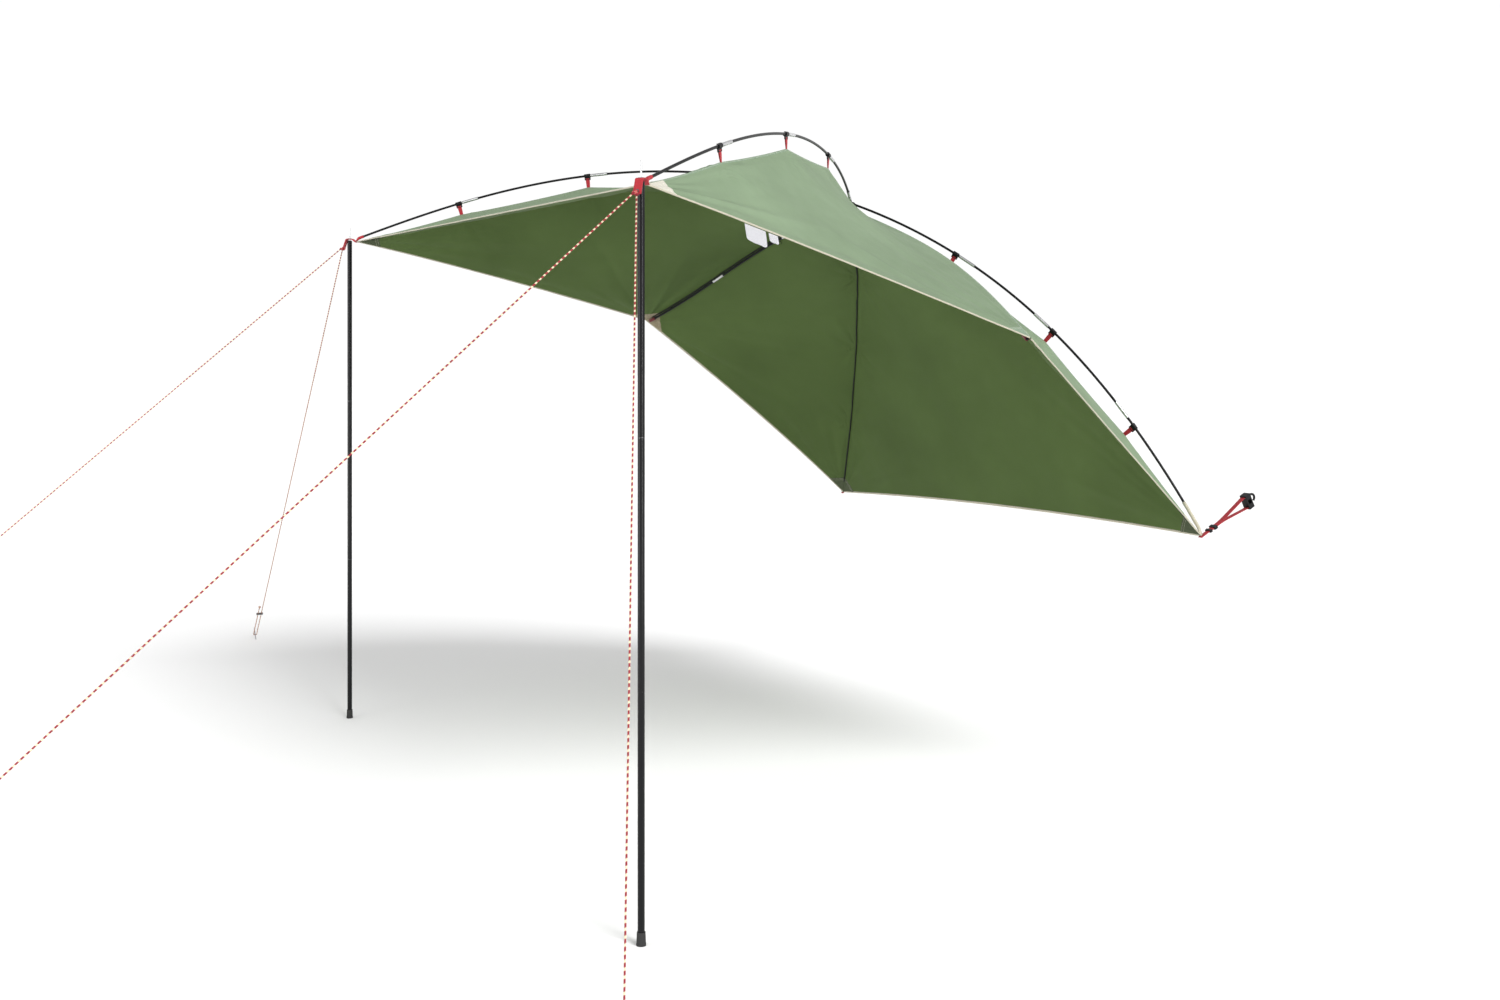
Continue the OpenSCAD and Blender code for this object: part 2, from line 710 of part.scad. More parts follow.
slider_x = 62;
module strap_slider(side) {
  color("black") on_strap(side) translate([slider_x, 0, 0]) difference() {
    cube([14, strap_w + 8, 10.5], center = true);
    cube([16, strap_w + 0.8, 5.4], center = true);
  }
}
module left_strap_slider() { strap_slider(LEFT); }
module right_strap_slider() { strap_slider(RIGHT); }

// Black hook: a slotted plate for the two legs, with a round hook past it
plate_h = 52;
hook_bar_d = 8;
hook_r = 13;
module vehicle_hook(side) {
  color("black") on_strap(side) translate([strap_l(side) - 22, 0, 0]) {
    difference() {
      cube([24, strap_w + 8, plate_h], center = true);
      for (way = SIDES) translate([-6, 0, way * leg_half_gap])
        cube([14, strap_w + 0.8, 5.4], center = true);
      cube([16, strap_w + 9, 16], center = true);
    }
    translate([11 + hook_r, 0, 0]) rotate([90, 0, 0]) rotate([0, 0, -70])
      rotate_extrude(angle = 250) translate([hook_r, 0]) circle(d = hook_bar_d);
  }
}
module left_vehicle_hook() { vehicle_hook(LEFT); }
module right_vehicle_hook() { vehicle_hook(RIGHT); }

// Guy lines. Each ends in a loop round its peg and comes back through the tensioner.
// Where each line meets its peg, on the ground: [corner, x, y] in ground coordinates
left_front_peg = [-1430, -2250, 25];
left_side_peg = [-3430, 40, 25];
right_front_peg = [1430, -2200, 25];
right_side_peg = [2500, -540, 25];
loop_r = 8;
tail_l = tensioner_up + 70;
line_start = 7;
line_sides = 8;
function line_dir(side, peg) = unit(placed(peg) - pull_point(side));
function line_from(side, peg) = pull_point(side) + line_dir(side, peg) * line_start;
function line_side(side, peg) = unit(cross(line_dir(side, peg), [0, 0, 1]));
function loop_centre(side, peg) = placed(peg) - line_side(side, peg) * loop_r;
function route(side, peg) =
  let (
    d = line_dir(side, peg),
    h = line_side(side, peg),
    c = loop_centre(side, peg),
    start = line_from(side, peg)
  )
  concat(
    [for (t = [0, 0.25, 0.5, 0.75]) lerp(start, placed(peg), t)],
    [for (a = [0:30:180]) c + h * loop_r * cos(a) + d * loop_r * sin(a)],
    [for (back = [tensioner_up / 2, tail_l]) c - h * loop_r - d * back]
  );
module guy(side, peg) { color("crimson") tube(route(side, peg), line_d, line_sides); }
module left_front_guy() { guy(LEFT, left_front_peg); }
module left_side_guy() { guy(LEFT, left_side_peg); }
module right_front_guy() { guy(RIGHT, right_front_peg); }
module right_side_guy() { guy(RIGHT, right_side_peg); }

// Two-hole tensioner that slides on both strands
tensioner_size = [7, 32, 10];
module tensioner(side, peg) {
  d = line_dir(side, peg);
  color("dimgray") along(loop_centre(side, peg) - d * tensioner_up, d) difference() {
    cube(tensioner_size, center = true);
    for (way = SIDES) translate([0, way * loop_r, 0]) rotate([0, 90, 0])
      cylinder(d = line_d + 0.9, h = tensioner_size.x + 2, center = true);
  }
}
module left_front_tensioner() { tensioner(LEFT, left_front_peg); }
module left_side_tensioner() { tensioner(LEFT, left_side_peg); }
module right_front_tensioner() { tensioner(RIGHT, right_front_peg); }
module right_side_tensioner() { tensioner(RIGHT, right_side_peg); }

// Steel pegs, square to their lines, each with a bent-over head
peg_d = 6;
peg_head_up = 26;
peg_bend_r = 8;
function peg_axis(side, peg) = let (d = line_dir(side, peg)) unit([0, 0, -1] + d * d.z);
module guy_peg(side, peg) {
  d = line_dir(side, peg);
  n = peg_axis(side, peg);
  shaft = loop_centre(side, peg) + d * (loop_r - line_d / 2 - peg_d / 2 - 0.3);
  along(shaft, n) {
    translate([-peg_head_up, 0, 0]) rotate([0, 90, 0]) cylinder(d = peg_d, h = peg_l - 12);
    translate([peg_l - peg_head_up - 12, 0, 0]) rotate([0, 90, 0])
      cylinder(d1 = peg_d, d2 = 1.5, h = 12);
    translate([-peg_head_up, 0, peg_bend_r]) rotate([90, 0, 0]) rotate([0, 0, 90])
      rotate_extrude(angle = 180) translate([peg_bend_r, 0]) circle(d = peg_d);
  }
}
module guy_pegs() {
  color("silver") {
    guy_peg(LEFT, left_front_peg);
    guy_peg(LEFT, left_side_peg);
    guy_peg(RIGHT, right_front_peg);
    guy_peg(RIGHT, right_side_peg);
  }
}

front_panel();
right_front_panel();
right_rear_panel();
rear_panel();
left_rear_panel();
left_front_panel();
edge_binding();
seam_bindings();
corner_patches();
apex_patch();
rod_ties();
rod_pockets();
left_front_webbing();
right_front_webbing();
front_eyelets();
tab_eyelets();
rear_webbing();
strap_keepers();
side_corner_loops();
arch_rod_left();
arch_rod_right();
cross_rod();
rod_ferrules();
rod_tips();
rod_hooks();
hook_tabs();
left_tube_lower();
left_tube_middle();
left_tube_upper();
left_spigots();
left_top_plug();
left_spike();
left_foot();
right_tube_lower();
right_tube_middle();
right_tube_upper();
right_spigots();
right_top_plug();
right_spike();
right_foot();
large_label();
small_label();
left_vehicle_strap();
right_vehicle_strap();
left_strap_slider();
right_strap_slider();
left_vehicle_hook();
right_vehicle_hook();
left_front_guy();
left_side_guy();
right_front_guy();
right_side_guy();
left_front_tensioner();
left_side_tensioner();
right_front_tensioner();
right_side_tensioner();
guy_pegs();
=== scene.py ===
import math
import bpy
import numpy as np
from numpy import concatenate, cos, linspace, sin, stack
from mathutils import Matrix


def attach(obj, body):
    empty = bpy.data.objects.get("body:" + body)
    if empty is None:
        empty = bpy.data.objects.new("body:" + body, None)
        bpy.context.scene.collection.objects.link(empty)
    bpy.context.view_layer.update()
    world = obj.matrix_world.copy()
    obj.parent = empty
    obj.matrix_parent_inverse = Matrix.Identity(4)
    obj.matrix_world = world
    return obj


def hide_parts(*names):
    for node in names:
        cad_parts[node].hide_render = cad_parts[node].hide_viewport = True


# Looks for the vehicle tarp shelter. Metres, in the frame shared with the CAD: +X right,
# +Y to the vehicle, +Z up, zero midway between the two vehicle hooks. The curves are the
# same functions as in part.scad.
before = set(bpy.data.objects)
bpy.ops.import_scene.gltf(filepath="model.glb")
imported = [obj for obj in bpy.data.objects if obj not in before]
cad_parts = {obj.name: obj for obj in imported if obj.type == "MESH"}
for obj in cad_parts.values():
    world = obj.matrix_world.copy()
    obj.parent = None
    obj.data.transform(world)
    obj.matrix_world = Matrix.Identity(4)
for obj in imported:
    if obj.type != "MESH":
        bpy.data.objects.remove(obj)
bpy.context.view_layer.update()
rng = np.random.default_rng(7)
A, norm = np.array, np.linalg.norm
TURN = 2 * math.pi
scene = bpy.context.scene

# ---- design values
ANCHOR = A([0, 2.485, 1.020])
GROUND = -ANCHOR[2]
# Front left, front right, right side, right rear, left rear, left side
CORNERS = A([
    [-1.408, 0.022, 1.982], [1.408, 0.022, 1.982], [1.370, 1.330, 1.565],
    [1.150, 2.250, 0.900], [-1.150, 2.250, 0.860], [-1.370, 1.330, 1.650]]) - ANCHOR
LEFT, RIGHT = -1, 1
SIDES = ((LEFT, "left"), (RIGHT, "right"))
ARCH_CROSS = 0.6115
HOOKS = [0.126, 0.286, 0.444, 0.734, 0.844, 0.931]
HELD = A([0, *HOOKS[:3], ARCH_CROSS, *HOOKS[3:], 1])
END_DROP, HOOK_DROP, SEAM_SAG = 0.011, 0.048, 0.004
ROD_D, STACK = 0.009, 0.006
SIDE_LIFT, APEX_RISE = 0.014, 0.024
RIGHT_SAG, SAG_EASE, SAG_POWER, SAG_PEAK = 0.052, 0.03, 2.2, 0.137
EDGE_PULL, DIP = 0.012, 0.045
# Sideways bow and rise of the rods: the value at mid-length, then how it changes along the rod
ARCH_BOW, ARCH_RISE = (0.244, 0.056), (0.747, 0.417, 0.553, 0.788)
CROSS_BOW, CROSS_RISE = 0.236, (0.449, 0.735)
# Cloth beside a seam: tucked down by SEAM_TUCK, its course softened over TUCK_WIDTH
SEAM_TUCK, TUCK_WIDTH, SHARED_WIDTH, SOFT_REACH = 0.009, 0.11, 0.02, 0.055
STEP, NORMAL_STEP = 0.002, 0.002
# Length of a panel from the edge to the apex, for creases and for texture coordinates
PANEL_RUN, PANEL_LENGTH = 1.9, 1.95


def unit(v):
    v = np.asarray(v, float)
    return v / np.maximum(norm(v, axis=-1, keepdims=True), 1e-12)


def bump(s):
    return 4 * s * (1 - s)


def smooth(x):
    x = np.clip(x, 0, 1)
    return x * x * (3 - 2 * x)


def arch(side, s):
    """Centreline of an arch rod."""
    a, b = CORNERS[0], CORNERS[3]
    d = unit([b[0] - a[0], b[1] - a[1], 0])
    m = s - 0.5
    bow = bump(s) * (ARCH_BOW[0] + ARCH_BOW[1] * m)
    rise = ARCH_RISE[0] + ARCH_RISE[1] * m + ARCH_RISE[2] * m ** 2 + ARCH_RISE[3] * m ** 3
    x = a[0] + (b[0] - a[0]) * s - d[1] * bow
    y = a[1] + (b[1] - a[1]) * s + d[0] * bow
    z = a[2] + (b[2] - a[2]) * s + END_DROP
    z = z + bump(s) * rise
    if side == RIGHT:
        z = z - (CORNERS[3][2] - CORNERS[4][2]) * np.clip(2 * s - 1, 0, 1) ** 2
    return stack([-side * x, y, z - side * STACK * bump(s)], -1)


def cross(s):
    """Centreline of the cross rod."""
    a, b = CORNERS[5], CORNERS[2]
    m = s - 0.5
    w = np.minimum(1, m + np.sqrt(m ** 2 + SAG_EASE ** 2))
    drop = RIGHT_SAG * w * (1 - w) ** SAG_POWER / SAG_PEAK
    rise = bump(s) * (CROSS_RISE[0] - CROSS_RISE[1] * m ** 2)
    return stack([a[0] + (b[0] - a[0]) * s, a[1] + CROSS_BOW * bump(s),
                     a[2] + (b[2] - a[2]) * s + rise - drop], -1)


APEX = cross(0.5) + A([0, 0, APEX_RISE])
UP = A([0.0, 0, 1])


def direction(curve, s):
    return unit(curve(s + STEP) - curve(s - STEP))


def below(d):
    """Square to d, in the upright plane through it, and down."""
    return unit(d * d[..., 2:] - UP)


def held_points(side):
    p = arch(side, HELD)
    ends = p[[0, -1]] - UP * END_DROP
    p = p + below(direction(lambda s: arch(side, s), HELD)) * HOOK_DROP
    p[[0, -1]] = ends
    p[4] = APEX
    return p


HELD_P = {LEFT: held_points(LEFT), RIGHT: held_points(RIGHT)}


def arch_seam(side, s):
    """Seam under an arch rod: nearly straight from hook to hook."""
    h = HELD_P[side]
    i = np.clip(np.searchsorted(HELD, s, side="left"), 1, len(HELD) - 1)
    w = ((s - HELD[i - 1]) / (HELD[i] - HELD[i - 1]))[..., None]
    return h[i - 1] + (h[i] - h[i - 1]) * w - UP * SEAM_SAG * bump(w)


def cross_seam(s):
    close = (1 - np.abs(2 * s - 1)) ** 5
    return cross(s) + UP * (SIDE_LIFT + (APEX_RISE - SIDE_LIFT) * close)[..., None]


def seam_point(k, t):
    rear = 1 - ARCH_CROSS
    if k in (0, 1):
        return arch_seam(LEFT if k == 0 else RIGHT, ARCH_CROSS * t)
    if k in (3, 4):
        return arch_seam(LEFT if k == 3 else RIGHT, 1 - rear * t)
    return cross_seam(1 - 0.5 * t if k == 2 else 0.5 * t)


def holds_of(k):
    if k in (0, 1):
        return A(HOOKS[:3]) / ARCH_CROSS
    if k in (3, 4):
        return (1 - A(HOOKS[3:])) / (1 - ARCH_CROSS)
    return A([])


FINE = linspace(0, 1, 801)
KINKED = [seam_point(k, FINE) for k in range(6)]


def softened(p):
    """The seam's course with its bends at the hooks smoothed out, ends kept."""
    n = int(SOFT_REACH * len(FINE))
    g = np.exp(-0.5 * (np.arange(-3 * n, 3 * n + 1) / n) ** 2)
    g /= g.sum()
    ends = p[:1] * 2 - p[1:3 * n + 1][::-1], p[-1:] * 2 - p[-3 * n - 1:-1][::-1]
    long = concatenate([ends[0], p, ends[1]])
    return stack([np.convolve(long[:, c], g, "valid") for c in range(3)], -1)


SOFT = [softened(p) for p in KINKED]


def on(table, t):
    return stack([np.interp(t, FINE, table[:, c]) for c in range(3)], -1)


def after(k):
    return (k + 1) % 6


def panel_width(k, t):
    """Distance across panel k, from its own seam to the next one."""
    return norm(on(KINKED[after(k)], t) - on(KINKED[k], t), axis=-1)


def flat_cloth(k, u, t):
    """Panel k without creases: u goes round from seam k, t from the edge to the apex."""
    a, b = k, after(k)
    t2 = t + (1 - t) * EDGE_PULL * bump(u)
    ka, kb = on(KINKED[a], t2), on(KINKED[b], t2)
    width = norm(kb - ka, axis=-1)
    w = u[..., None]
    p = ka + (kb - ka) * w
    hold = smooth(t2 * 12) * smooth((1 - t2) * 8)
    for seam, x, share in ((a, u * width, 1 - w), (b, (1 - u) * width, w)):
        gap = on(SOFT[seam], t2) - on(KINKED[seam], t2) - UP * SEAM_TUCK * hold[..., None]
        p = p + gap * ((1 - np.exp(-(x / TUCK_WIDTH) ** 2)) * hold)[..., None] * share
    dip = DIP * (1 - (1 - t) ** 2) * (1 - t ** 8) * bump(u)
    return p - UP * dip[..., None]


def raw_normal(k, u, t):
    e = NORMAL_STEP
    du = flat_cloth(k, np.minimum(u + e, 1), t) - flat_cloth(k, np.maximum(u - e, 0), t)
    dt = flat_cloth(k, u, np.minimum(t + e, 0.999)) - flat_cloth(k, u, np.maximum(t - e, 0))
    return unit(np.cross(du, dt))


def normal(k, u, t):
    """Outward normal, shared with the next panel at each seam."""
    t = np.clip(t, 0, 0.99)
    n = raw_normal(k, u, t)
    a, b = (k + 5) % 6, after(k)
    one, zero = np.ones_like(u), np.zeros_like(u)
    na = unit(raw_normal(k, zero, t) + raw_normal(a, one, t))
    nb = unit(raw_normal(k, one, t) + raw_normal(b, zero, t))
    width = panel_width(k, t)
    wa = np.exp(-u * width / SHARED_WIDTH)[..., None]
    wb = np.exp(-(1 - u) * width / SHARED_WIDTH)[..., None]
    return unit(n * (1 - wa) * (1 - wb) + na * wa + nb * wb)


# Folds: each entry is (height, reach) or (height, pitch); long folds are (width, spread)
CORNER_FOLD, HOOK_FOLD, LONG_FOLD = (0.0042, 0.42), (0.0022, 0.16), (0.007, 0.026)
WAVE_H, SEAM_PUCKER, EDGE_RIPPLE = 0.0011, (0.0009, 0.045), (0.0012, 0.21)
CALM, CALM_WIDTH = 0.12, 0.10
WAVES = [(rng.normal(size=3), rng.uniform(0, 6.28), rng.uniform(0.3, 0.8)) for _ in range(7)]
FOLDS = {(k, c): (rng.integers(9, 15), rng.uniform(0, 6.28, 3)) for k in range(6) for c in (0, 1)}
HOOK_FOLDS = {(k, i): rng.uniform(0, 6.28, 2) for k in range(6) for i in range(3)}
LONG_FOLDS = {(k, c): [(w, rng.choice([-1, 1]) * rng.uniform(0.0034, 0.006), rng.uniform(0.45, 1.6),
                        rng.uniform(-0.05, 0.05)) for w in (np.arange(6) + rng.uniform(0.2, 0.8, 6)) / 6]
              for k in range(6) for c in (0, 1)}


def creases(k, u, t, p):
    """Height of the creases above the flat panel, and a 0 to 1 measure of how sharp they are."""
    b = after(k)
    ca, cb = CORNERS[k], CORNERS[b]
    edge = unit(cb - ca)
    h = np.zeros(u.shape)
    for c, (corner, along) in enumerate(((ca, edge), (cb, -edge))):
        v = p - corner
        r = norm(v, axis=-1)
        x = v @ along
        y = np.sqrt(np.maximum(r ** 2 - x ** 2, 0))
        th = np.arctan2(y, x)
        n, ph = FOLDS[k, c]
        size = CORNER_FOLD[0] * np.exp(-r / CORNER_FOLD[1]) * smooth(r / 0.10)
        h += size * (sin(n * th + ph[0]) + 0.6 * sin(1.9 * n * th + ph[1] + 3 * r)
                     + 0.35 * sin(3.3 * n * th + ph[2] - 5 * r))
        inner = on(KINKED[b if c else k], A([0.3]))[0] - corner
        reach = math.acos(float(np.clip(unit(inner) @ along, -1, 1)))
        for share, high, long, bend in LONG_FOLDS[k, c]:
            away = r * (th - reach * share - bend * r) / (LONG_FOLD[0] + LONG_FOLD[1] * r)
            fade = smooth(r / 0.09) * (1 - smooth(r / long)) * (0.35 + 0.65 * smooth(r / 0.3))
            h += high * np.exp(-away ** 2) * fade
    for seam in (k, b):
        for i, tt in enumerate(holds_of(seam)):
            hook = on(KINKED[seam], A([tt]))[0]
            v = p - hook
            r = norm(v, axis=-1)
            ahead = unit(on(KINKED[seam], A([min(tt + 0.02, 1)]))[0] - hook)
            th = np.arccos(np.clip(v @ ahead / np.maximum(r, 1e-6), -1, 1))
            ph = HOOK_FOLDS[k, i]
            h += HOOK_FOLD[0] * np.exp(-r / HOOK_FOLD[1]) * smooth(r / 0.03) * (
                sin(9 * th + ph[0]) + 0.5 * sin(17 * th + ph[1]))
    for d, ph, lam in WAVES:
        h += WAVE_H * sin(TURN * (p @ unit(d)) / lam + ph) * (0.4 + 0.6 * sin(3 * t + ph))
    near = np.minimum(u, 1 - u) * panel_width(k, t)
    run = t * PANEL_RUN
    pucker = SEAM_PUCKER[0] * sin(TURN * run / SEAM_PUCKER[1] + 2 * k)
    h += pucker * np.exp(-near / 0.05) * smooth(near / 0.012)
    along = u * norm(cb - ca)
    h += EDGE_RIPPLE[0] * sin(TURN * along / EDGE_RIPPLE[1] + k) * np.exp(-run / 0.14)
    calm = CALM + (1 - CALM) * smooth(run / CALM_WIDTH)
    return h * calm * smooth((near - 0.009) / 0.03) * smooth((1 - t) * 20)


def cloth(k, u, t):
    u, t = np.broadcast_arrays(np.asarray(u, float), np.asarray(t, float))
    p = flat_cloth(k, u, t)
    return p + normal(k, u, t) * creases(k, u, t, p)[..., None]


# ---- mesh helpers
def run_of(p):
    """Distance along a polyline at each of its points."""
    return concatenate([[0], np.cumsum(norm(np.diff(p, axis=0), axis=1))])


def point(curve, s):
    return curve(A([s]))[0]


def rot_to(d):
    """Columns X, Y, Z: X along d, Y level."""
    x = unit(d)
    y = unit(np.cross(UP, x)) if abs(x[2]) < 0.999 else A([0, 1.0, 0])
    return stack([x, y, np.cross(x, y)], -1)


def placed(name, data):
    """A new object in the scene."""
    o = bpy.data.objects.new(name, data)
    scene.collection.objects.link(o)
    return o


class Shape:
    """Collects vertices, faces, UVs in metres and material numbers into one mesh."""

    def __init__(self):
        self.v, self.f, self.uv, self.m, self.n = [], [], [], [], 0

    def add(self, verts, faces, uvs, mat=0):
        verts = np.asarray(verts, float).reshape(-1, 3)
        self.v.append(verts)
        for face, uv in zip(faces, uvs):
            self.f.append(tuple(int(i) + self.n for i in face))
            self.uv.extend(uv)
            self.m.append(mat)
        self.n += len(verts)

    def grid(self, p, uv, mat=0, wrap=False, flip=False):
        """Quads from points p[row, column]; wrap closes the columns, with one more in uv."""
        r, c = p.shape[:2]
        faces, uvs = [], []
        cols = c if wrap else c - 1
        for i in range(r - 1):
            for j in range(cols):
                q = [(i, j), (i, j + 1), (i + 1, j + 1), (i + 1, j)]
                if flip:
                    q = q[::-1]
                faces.append([a * c + b % c for a, b in q])
                uvs.append([tuple(uv[a][b]) for a, b in q])
        self.add(p, faces, uvs, mat)

    def sweep(self, path, ring, mat=0, caps=True, side=None):
        """A closed ring of 2-D points carried along a path; ring may be a function of i."""
        path = np.asarray(path, float)
        n = len(path)
        tan = unit(np.gradient(path, axis=0))
        if side is None:
            s = unit(np.cross(tan[0], UP if abs(tan[0][2]) < 0.95 else A([1.0, 0, 0])))
            sides = []
            for i in range(n):
                s = unit(s - tan[i] * (s @ tan[i]))
                sides.append(s)
            sides = A(sides)
        else:
            side = np.broadcast_to(np.asarray(side, float), path.shape)
            sides = unit(side - tan * (side * tan).sum(-1, keepdims=True))
        ups = np.cross(sides, tan)
        length = run_of(path)
        rings = []
        for i in range(n):
            q = np.asarray(ring(i, length[i]) if callable(ring) else ring, float)
            rings.append(path[i] + q[:, :1] * sides[i] + q[:, 1:] * ups[i])
        rings = A(rings)
        around = run_of(concatenate([rings[0], rings[0][:1]]))
        uv = [[(around[j], length[i]) for j in range(len(around))] for i in range(n)]
        base = self.n
        self.grid(rings, uv, mat, wrap=True)
        if caps:
            c = rings.shape[1]
            for start, order in ((0, range(c - 1, -1, -1)), ((n - 1) * c, range(c))):
                self.f.append(tuple(base + start + j for j in order))
                self.uv.extend([(around[j], 0.0) for j in order])
                self.m.append(mat)

    def make(self, name, mats, body="shelter", slot=None, replaces=()):
        mesh = bpy.data.meshes.new(name)
        mesh.from_pydata(concatenate(self.v).tolist(), [], self.f)
        layer = mesh.uv_layers.new(name="UVMap")
        layer.data.foreach_set("uv", np.asarray(self.uv, np.float32).ravel())
        mesh.polygons.foreach_set("material_index", np.asarray(self.m, np.int32))
        mesh.polygons.foreach_set("use_smooth", np.full(len(self.f), True))
        for m in mats:
            mesh.materials.append(m)
        mesh.validate()
        mesh.update()
        o = placed(name, mesh)
        if body:
            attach(o, body)
        if replaces:
            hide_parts(*replaces)
        return o


def circle(r, n):
    a = linspace(0, TURN, n, endpoint=False)
    return stack([r * cos(a), r * sin(a)], -1)


def tape(w, t, n=4):
    """Flat tape section: width w, thickness t, with rounded edges."""
    a = linspace(-math.pi / 2, math.pi / 2, n)
    right = stack([w / 2 - t / 2 + t / 2 * cos(a), t / 2 * sin(a)], -1)
    mid = linspace(0.6, -0.6, 4)[:, None] * A([[w / 2, 0]])
    top = mid + A([[0, t / 2]])
    bottom = mid[::-1] - A([[0, t / 2]])
    return concatenate([right, top, -right, bottom])


def smooth_path(points, step, reach=0.006):
    """A polyline with rounded bends, resampled about every step."""
    p = np.asarray(points, float)
    out = [p[0]]
    for i in range(1, len(p) - 1):
        a, b = p[i - 1] - p[i], p[i + 1] - p[i]
        r = min(reach, norm(a) * 0.45, norm(b) * 0.45)
        q0, q2 = p[i] + unit(a) * r, p[i] + unit(b) * r
        for w in linspace(0, 1, 7):
            out.append(q0 * (1 - w) ** 2 + 2 * p[i] * w * (1 - w) + q2 * w ** 2)
    out.append(p[-1])
    fine = [out[0]]
    for a, b in zip(out, out[1:]):
        n = max(1, int(norm(b - a) / step))
        fine.extend(a + (b - a) * w for w in linspace(0, 1, n + 1)[1:])
    return A(fine)


# ---- materials
class Mat:
    def __init__(self, name, color, rough=0.6, metal=0.0, **sockets):
        self.m = bpy.data.materials.new(name)
        self.m.use_nodes = True
        self.t = self.m.node_tree
        self.b = self.t.nodes["Principled BSDF"]
        self.b.inputs["Base Color"].default_value = (*color, 1)
        self.b.inputs["Roughness"].default_value = rough
        self.b.inputs["Metallic"].default_value = metal
        for k, v in sockets.items():
            self.b.inputs[k.replace("_", " ")].default_value = v

    def node(self, kind, **values):
        n = self.t.nodes.new(kind)
        for k, v in values.items():
            if hasattr(n, k):
                setattr(n, k, v)
            else:
                n.inputs[k.replace("_", " ")].default_value = v
        return n

    def link(self, a, b):
        self.t.links.new(a, b)
        return b

    def math(self, op, a, b=0.0):
        n = self.node("ShaderNodeMath", operation=op)
        for i, x in enumerate((a, b)):
            if isinstance(x, (int, float)):
                n.inputs[i].default_value = x
            else:
                self.link(x, n.inputs[i])
        return n.outputs[0]

    def mul(self, a, b):
        return self.math("MULTIPLY", a, b)

    def add(self, a, b):
        return self.math("ADD", a, b)

    def uv(self):
        if not hasattr(self, "_uv"):
            sep = self.node("ShaderNodeSeparateXYZ")
            self.link(self.node("ShaderNodeTexCoord").outputs["UV"], sep.inputs[0])
            self._uv = sep.outputs[:2]
        return self._uv

    def noise(self, scale, detail=3.0, stretch=None, rough=0.5):
        n = self.node("ShaderNodeTexNoise", Scale=scale, Detail=detail, Roughness=rough)
        at = self.node("ShaderNodeTexCoord").outputs["Object"]
        if stretch:
            mp = self.node("ShaderNodeMapping", Scale=stretch)
            self.link(at, mp.inputs["Vector"])
            at = mp.outputs[0]
        self.link(at, n.inputs["Vector"])
        return n.outputs["Fac"]

    def ramp(self, fac, lo, hi, a=0.0, b=1.0):
        """Colour from lo to hi as fac goes from a to b."""
        r = self.node("ShaderNodeValToRGB")
        e = r.color_ramp.elements
        e[0].position, e[1].position = a, b
        e[0].color, e[1].color = (*lo, 1), (*hi, 1)
        self.link(fac, r.inputs[0])
        return r.outputs[0]

    def blend(self, fac, a, b, kind="MIX"):
        n = self.node("ShaderNodeMix", data_type="RGBA", blend_type=kind)
        for i, x in ((0, fac), (6, a), (7, b)):
            if hasattr(x, "is_linked"):
                self.link(x, n.inputs[i])
            elif i == 0:
                n.inputs[0].default_value = x
            else:
                n.inputs[i].default_value = (*x, 1)
        return n.outputs[2]

    def color(self, x):
        self.link(x, self.b.inputs["Base Color"])

    def rough(self, fac, lo, hi):
        n = self.node("ShaderNodeMapRange", To_Min=lo, To_Max=hi)
        self.link(fac, n.inputs[0])
        self.link(n.outputs[0], self.b.inputs["Roughness"])

    def bump(self, height, strength, distance):
        n = self.node("ShaderNodeBump", Strength=strength, Distance=distance)
        self.link(height, n.inputs["Height"])
        if getattr(self, "_bump", None):
            self.link(self._bump, n.inputs["Normal"])
        self._bump = n.outputs[0]
        self.link(self._bump, self.b.inputs["Normal"])

    def wave(self, x, period):
        return self.math("SINE", self.mul(x, TURN / period))


def dark(c, f):
    return tuple(x * f for x in c)


GRID_PITCH, WEAVE_PITCH, LIGHT_THROUGH = 0.006, 0.0011, 0.35


def coated_cloth(name, base, through, gloss):
    """Ripstop cloth: fine weave, a grid of heavier threads, blotchy tone, and light through it."""
    m = Mat(name, base, 0.62, Specular_IOR_Level=gloss)
    u, v = m.uv()
    big = m.noise(2.3, 4, rough=0.55)
    small = m.noise(16, 3)
    tone = m.ramp(big, dark(base, 0.84), dark(base, 1.14), 0.3, 0.72)
    tone = m.blend(m.mul(small, 0.35), tone, dark(base, 0.78))
    lines = m.math("MAXIMUM", m.wave(u, GRID_PITCH), m.wave(v, GRID_PITCH))
    lines = m.math("GREATER_THAN", lines, 0.93)
    tone = m.blend(m.mul(lines, 0.2), tone, dark(base, 1.4))
    m.color(tone)
    m.rough(small, 0.5, 0.72)
    weave = m.add(m.wave(u, WEAVE_PITCH), m.wave(v, WEAVE_PITCH))
    m.bump(m.add(m.mul(weave, 0.3), lines), 0.2, 0.0001)
    m.bump(big, 0.12, 0.01)
    tr = m.node("ShaderNodeBsdfTranslucent", Color=(*through, 1))
    mix = m.node("ShaderNodeMixShader", Fac=LIGHT_THROUGH)
    m.link(m.b.outputs[0], mix.inputs[1])
    m.link(tr.outputs[0], mix.inputs[2])
    m.link(mix.outputs[0], m.t.nodes["Material Output"].inputs["Surface"])
    return m.m


HERRINGBONE = 0.35


